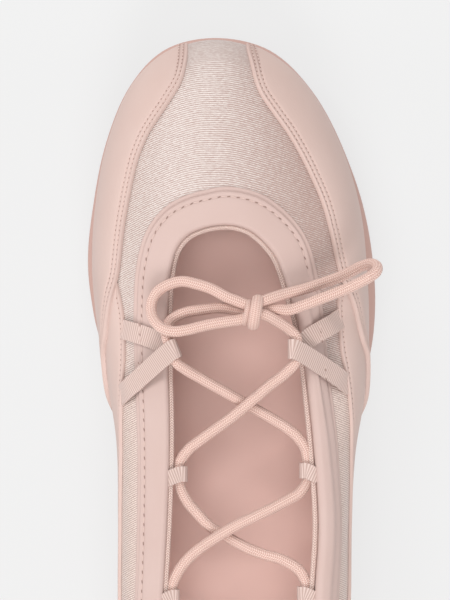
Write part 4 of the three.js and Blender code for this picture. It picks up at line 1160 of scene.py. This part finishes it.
BOW_LOOP_IN = [
    [6, 43.8, 56.4], [3, 45, 56.1], [-1.5, 46.7, 55.6], [-6.2, 49.2, 54.6], [-10.9, 50.7, 53.2],
    [-14.9, 51.5, 51.8], [-18.7, 50.7, 50.8], [-22.4, 48.6, 50.4], [-24.3, 45.5, 50.9], [-24.6, 42.3, 52],
    [-23.4, 39.2, 54], [-21.1, 37.1, 55.7], [-17.7, 36.2, 56.6], [-13.9, 36.6, 56.7], [-9.4, 37.7, 56.7],
    [-4.6, 38.7, 56.8], [0.1, 39.4, 56.8], [3.1, 39.9, 56.6], [6, 41, 56.2],
]
BOW_LOOP_OUT = [
    [6.9, 44, 56], [9.9, 45.6, 56], [15.7, 47.5, 53.6], [21.6, 49, 51.6], [27.3, 50.8, 49.8],
    [33.2, 52.9, 48.6], [36.6, 54.5, 48], [40, 56.2, 47.7], [42.9, 56.9, 48.8], [44.5, 55.9, 51.2],
    [44, 54.2, 53.6], [41.6, 52.5, 54.8], [38, 50.6, 55.2], [33.2, 48.5, 55.3], [27.3, 46.2, 55.4],
    [21.5, 44, 55.2], [17.6, 42.8, 55], [13.7, 43, 54.4], [9.7, 43.2, 54.2], [6.9, 42.8, 55],
]
loop_in, loop_path = cord_tube("bow_cord_medial", BOW_LOOP_IN)
fitted(loop_in, braided_cord, "braided_cord", "bow_loop_medial")
loop_out, loop_path = cord_tube("bow_cord_lateral", BOW_LOOP_OUT)
fitted(loop_out, braided_cord, "braided_cord", "bow_loop_lateral")

# Ribbon loops
# Six folded lengths of grosgrain ribbon that hold the lace. The front two have long legs, sewn down with the
# collar and tucked under the quarter's edge; the other four are narrower and come from under the collar.

# Grosgrain ribbon: firm cross ribs 0.73 mm apart and a dull silk light, with painted shade in the lines
# between the ribs.
RIBBON = "#D1BBB3"
RIBBON_GROOVE_SHADE = "#AE9187"
GROSGRAIN_PITCH = 0.73
GROSGRAIN_DEEP = 0.1
grosgrain, tree = new_material("grosgrain_ribbon")
marks = node(tree, "ShaderNodeUVMap")
along = node(tree, "ShaderNodeSeparateXYZ", {0: marks})
turned = node(tree, "ShaderNodeMath", {0: along, 1: 2 * math.pi / GROSGRAIN_PITCH}, operation="MULTIPLY")
wave = node(tree, "ShaderNodeMath", {0: turned}, operation="SINE")
rib_share = node(tree, "ShaderNodeMath", {0: wave, 1: 0.5, 2: 0.5}, operation="MULTIPLY_ADD")
tones = {0: rib_share, 6: linear(RIBBON_GROOVE_SHADE), 7: linear(RIBBON)}
tint = node(tree, "ShaderNodeMix", tones, data_type="RGBA")
relief = node(tree, "ShaderNodeBump", {"Strength": 0.6, "Distance": GROSGRAIN_DEEP * MM, "Height": rib_share})
surface = node(tree, "ShaderNodeBsdfPrincipled", {
    "Base Color": tint.outputs[2], "Roughness": 0.5, "IOR": 1.5, "Sheen Weight": 0.15, "Normal": relief})
node(tree, "ShaderNodeOutputMaterial", {"Surface": surface})

RIBBON_WIDTH = 6
LOOP_WIDTH = 4.7
RIBBON_WALL = 0.5
RIBBON_COLUMNS = 9
RIBBON_STEP = 0.35
FOLD_RADIUS = 2.25
FOLD_SQUARE = 4


def ribbon(name, centres, acrosses, width, node_name):
    """A flat ribbon along the centres, laid out to its width along the directions across it."""
    path, along, shares = even_route(centres, RIBBON_STEP)
    ahead = unit(np.gradient(path, axis=0))
    across = rail(acrosses, shares)
    across = unit(across - ahead * (across * ahead).sum(1, keepdims=True))
    offsets = np.linspace(-0.5, 0.5, RIBBON_COLUMNS)
    rows = path[:, None, :] + across[:, None, :] * offsets[None, :, None] * width
    facing = np.repeat(np.cross(ahead, across)[:, None, :], RIBBON_COLUMNS, axis=1)
    marks = np.stack(np.broadcast_arrays(along[:, None], offsets[None, :]), -1)
    piece = sheet_over(name, rows, facing=facing, marks=marks)
    modified(piece, "SOLIDIFY", thickness=RIBBON_WALL * MM, offset=0)
    fitted(piece, grosgrain, "grosgrain_ribbon", node_name)
    return path, across


def fold(cord, inward, angles):
    """The centres of a ribbon's turn round the cord, a little squarer than a ring, as a firm ribbon folds."""
    turned = np.radians(angles)[:, None]
    up = np.sin(turned)
    aside = np.cos(turned)
    radius = FOLD_RADIUS * (up ** FOLD_SQUARE + aside ** FOLD_SQUARE) ** (-1 / FOLD_SQUARE)
    return list(cord + radius * (up * upright + aside * inward))


# Each front loop: where it holds the cord, the direction of its fold, and the plan places and lifts of its
# rear leg up to the fold and of its front leg away from it.
FRONT_LOOPS = [
    {
        "node": "front_loop_medial",
        "cord": [-18.5, 30.5, 53.3],
        "axis": [0.37, -0.93],
        "back": [[-35, 15.2, 0.2], [-32.6, 17.2, 0.9], [-30.8, 18.7, 1.7], [-28.9, 20.2, 2.2]],
        "front": [
            [-20.8, 32.6, 2], [-23.8, 34, 2], [-27.8, 35.4, 2], [-30.3, 36.1, 1.6], [-32.3, 36.6, 0.9],
            [-34.8, 37.4, 0.2]],
    },
    {
        "node": "front_loop_lateral",
        "cord": [19.7, 30.8, 53.3],
        "axis": [0, -1],
        "back": [[36.2, 19.3, 0.2], [34, 20.6, 0.9], [32.6, 21.5, 1.7], [31.4, 22.2, 2.2]],
        "front": [
            [22.6, 34, 3], [25.4, 35.7, 3.3], [28.6, 37.5, 3.1], [30.4, 38.4, 2.3], [32, 39.4, 1.2],
            [34.4, 40.6, 0.2]],
    },
]
FOLD_ANGLES = [75, 40, 5, -30, -65, -100]
# The collar's row of stitches goes on over the legs and holds them down.
RIBBON_STITCH_LIFT = 0.05
RIBBON_HELD = 4
RIBBON_HOLE = [0.9, 0.38]
for loop in FRONT_LOOPS:
    cord = np.array(loop["cord"])
    axis = unit(np.array([*loop["axis"], 0]))
    inward = np.cross(axis, upright)
    if inward[0] * cord[0] > 0:
        axis = -axis
        inward = -inward
    centres = []
    acrosses = []
    for part in ("back", "front"):
        plan = np.array(loop[part])
        place, _, out = last_frame(*under_plan(plan[:, :2]).T)
        place = place + out * plan[:, 2:3]
        if part == "front":
            centres += fold(cord, inward, FOLD_ANGLES)
            acrosses += [axis] * len(FOLD_ANGLES)
        centres += list(place)
        for way in unit(np.cross(np.gradient(place, axis=0), out)):
            acrosses.append(way if way @ axis > 0 else -way)
    name = loop["node"].replace("loop", "ribbon")
    path, across = ribbon(name, np.array(centres), np.array(acrosses), RIBBON_WIDTH, loop["node"])
    gaps = spots[:, None, :] - path[None]
    near = np.linalg.norm(gaps, axis=2).argmin(1)
    gaps = gaps[np.arange(len(spots)), near]
    aside = np.abs((gaps * across[near]).sum(1))
    rise = RIBBON_WALL / 2 + RIBBON_STITCH_LIFT - (gaps * outs).sum(1)
    held = (aside < RIBBON_WIDTH / 2) & (np.linalg.norm(gaps, axis=1) < RIBBON_HELD)
    over = spots[held] + outs[held] * rise[held, None]
    stitch_row(name + "_stitches", over, alongs[held], outs[held], BAND_STITCH, RIBBON_HOLE, needle_hole_shade)

COLLAR_LOOPS = [
    {"node": "middle_loop_medial", "cord": [-16.1, -7.5, 48], "turn": 0.7186},
    {"node": "middle_loop_lateral", "cord": [23.3, -6.5, 47.7], "turn": 0.2762},
    {"node": "back_loop_medial", "cord": [-18.4, -45, 52.5], "turn": 0.6667},
    {"node": "back_loop_lateral", "cord": [22.5, -44.1, 52.5], "turn": 0.332},
]
COLLAR_FOLD = [80, 50, 20, -10, -40, -80]
# The legs' places from the topline: inwards, towards the toe and up; the upper leg starts inside the collar's
# roll and goes over the tape, and the lower leg ends on the lining.
UPPER_LEG = [[-0.7, -1.7, -0.55], [1, -1, -0.25]]
LOWER_LEG = [[0.4, 1, -4.4], [-2, 1.9, -3.6]]
for loop in COLLAR_LOOPS:
    cord = np.array(loop["cord"])
    inward = np.array([-math.copysign(1, cord[0]), 0, 0])
    axis = np.cross(upright, inward)
    top = last_points(np.array([loop["turn"]]), np.array([1]))[0]
    steps = np.array([inward, [0, 1, 0], upright])
    centres = [top + leg @ steps for leg in np.array(UPPER_LEG)]
    centres += fold(cord, inward, COLLAR_FOLD)
    centres += [top + leg @ steps for leg in np.array(LOWER_LEG)]
    name = loop["node"].replace("loop", "ribbon")
    ribbon(name, np.array(centres), np.array([axis] * len(centres)), LOOP_WIDTH, loop["node"])

# Floor, light and camera
# A plain pale sheet under the shoe and six large soft lamps: above, behind, in front and at both sides, the
# strongest at the heel. The camera looks straight down, as the photo's does.

# Lit paper: dull, with a glow of its own, so that it looks evenly pale and takes only soft shadows.
FLOOR = "#606060"
FLOOR_GLOW = "#FFFFFF"
GLOW_STRENGTH = 0.718
FLOOR_SIZE = 6
bpy.ops.object.select_all(action="DESELECT")
bpy.ops.mesh.primitive_plane_add(size=FLOOR_SIZE, location=(0, 0, 0))
floor = bpy.context.object
floor.name = "floor"
paper, tree = new_material("lit_paper")
surface = node(tree, "ShaderNodeBsdfPrincipled", {
    "Base Color": linear(FLOOR), "Roughness": 1.0, "Specular IOR Level": 0.0,
    "Emission Color": linear(FLOOR_GLOW), "Emission Strength": GLOW_STRENGTH})
node(tree, "ShaderNodeOutputMaterial", {"Surface": surface})
floor.data.materials.append(paper)

WORLD_LIGHT = 0.35
world = bpy.data.worlds.new("studio")
bpy.context.scene.world = world
world.use_nodes = True
world.node_tree.nodes["Background"].inputs["Color"].default_value = (1, 1, 1, 1)
world.node_tree.nodes["Background"].inputs["Strength"].default_value = WORLD_LIGHT

# Place in metres and power in watts of each lamp, a square of one size.
LAMP_SIZE = 1
LAMPS = [
    [(0, -0.1, 2.2), 9],
    [(-0.9, 1.15, 1.7), 18],
    [(0, 2, 0.7), 13],
    [(0, -1.55, 1.6), 31],
    [(-2, 0.05, 0.7), 11],
    [(2, 0.05, 0.7), 9],
]
for place, power in LAMPS:
    bpy.ops.object.light_add(type="AREA", location=place)
    lamp = bpy.context.object
    lamp.data.shape = "SQUARE"
    lamp.data.size = LAMP_SIZE
    lamp.data.energy = power
    lamp.rotation_euler = (-lamp.location).to_track_quat("-Z", "Y").to_euler()

CAMERA_PLACE = (-2.03 * MM, 45.8 * MM, 1500 * MM)
CAMERA_SENSOR = 36
CAMERA_LENS = 284.1
bpy.ops.object.camera_add(location=CAMERA_PLACE, rotation=(0, 0, 0))
camera = bpy.context.object
camera.data.sensor_width = CAMERA_SENSOR
camera.data.lens = CAMERA_LENS
bpy.context.scene.camera = camera
bpy.context.scene.view_settings.view_transform = "Standard"
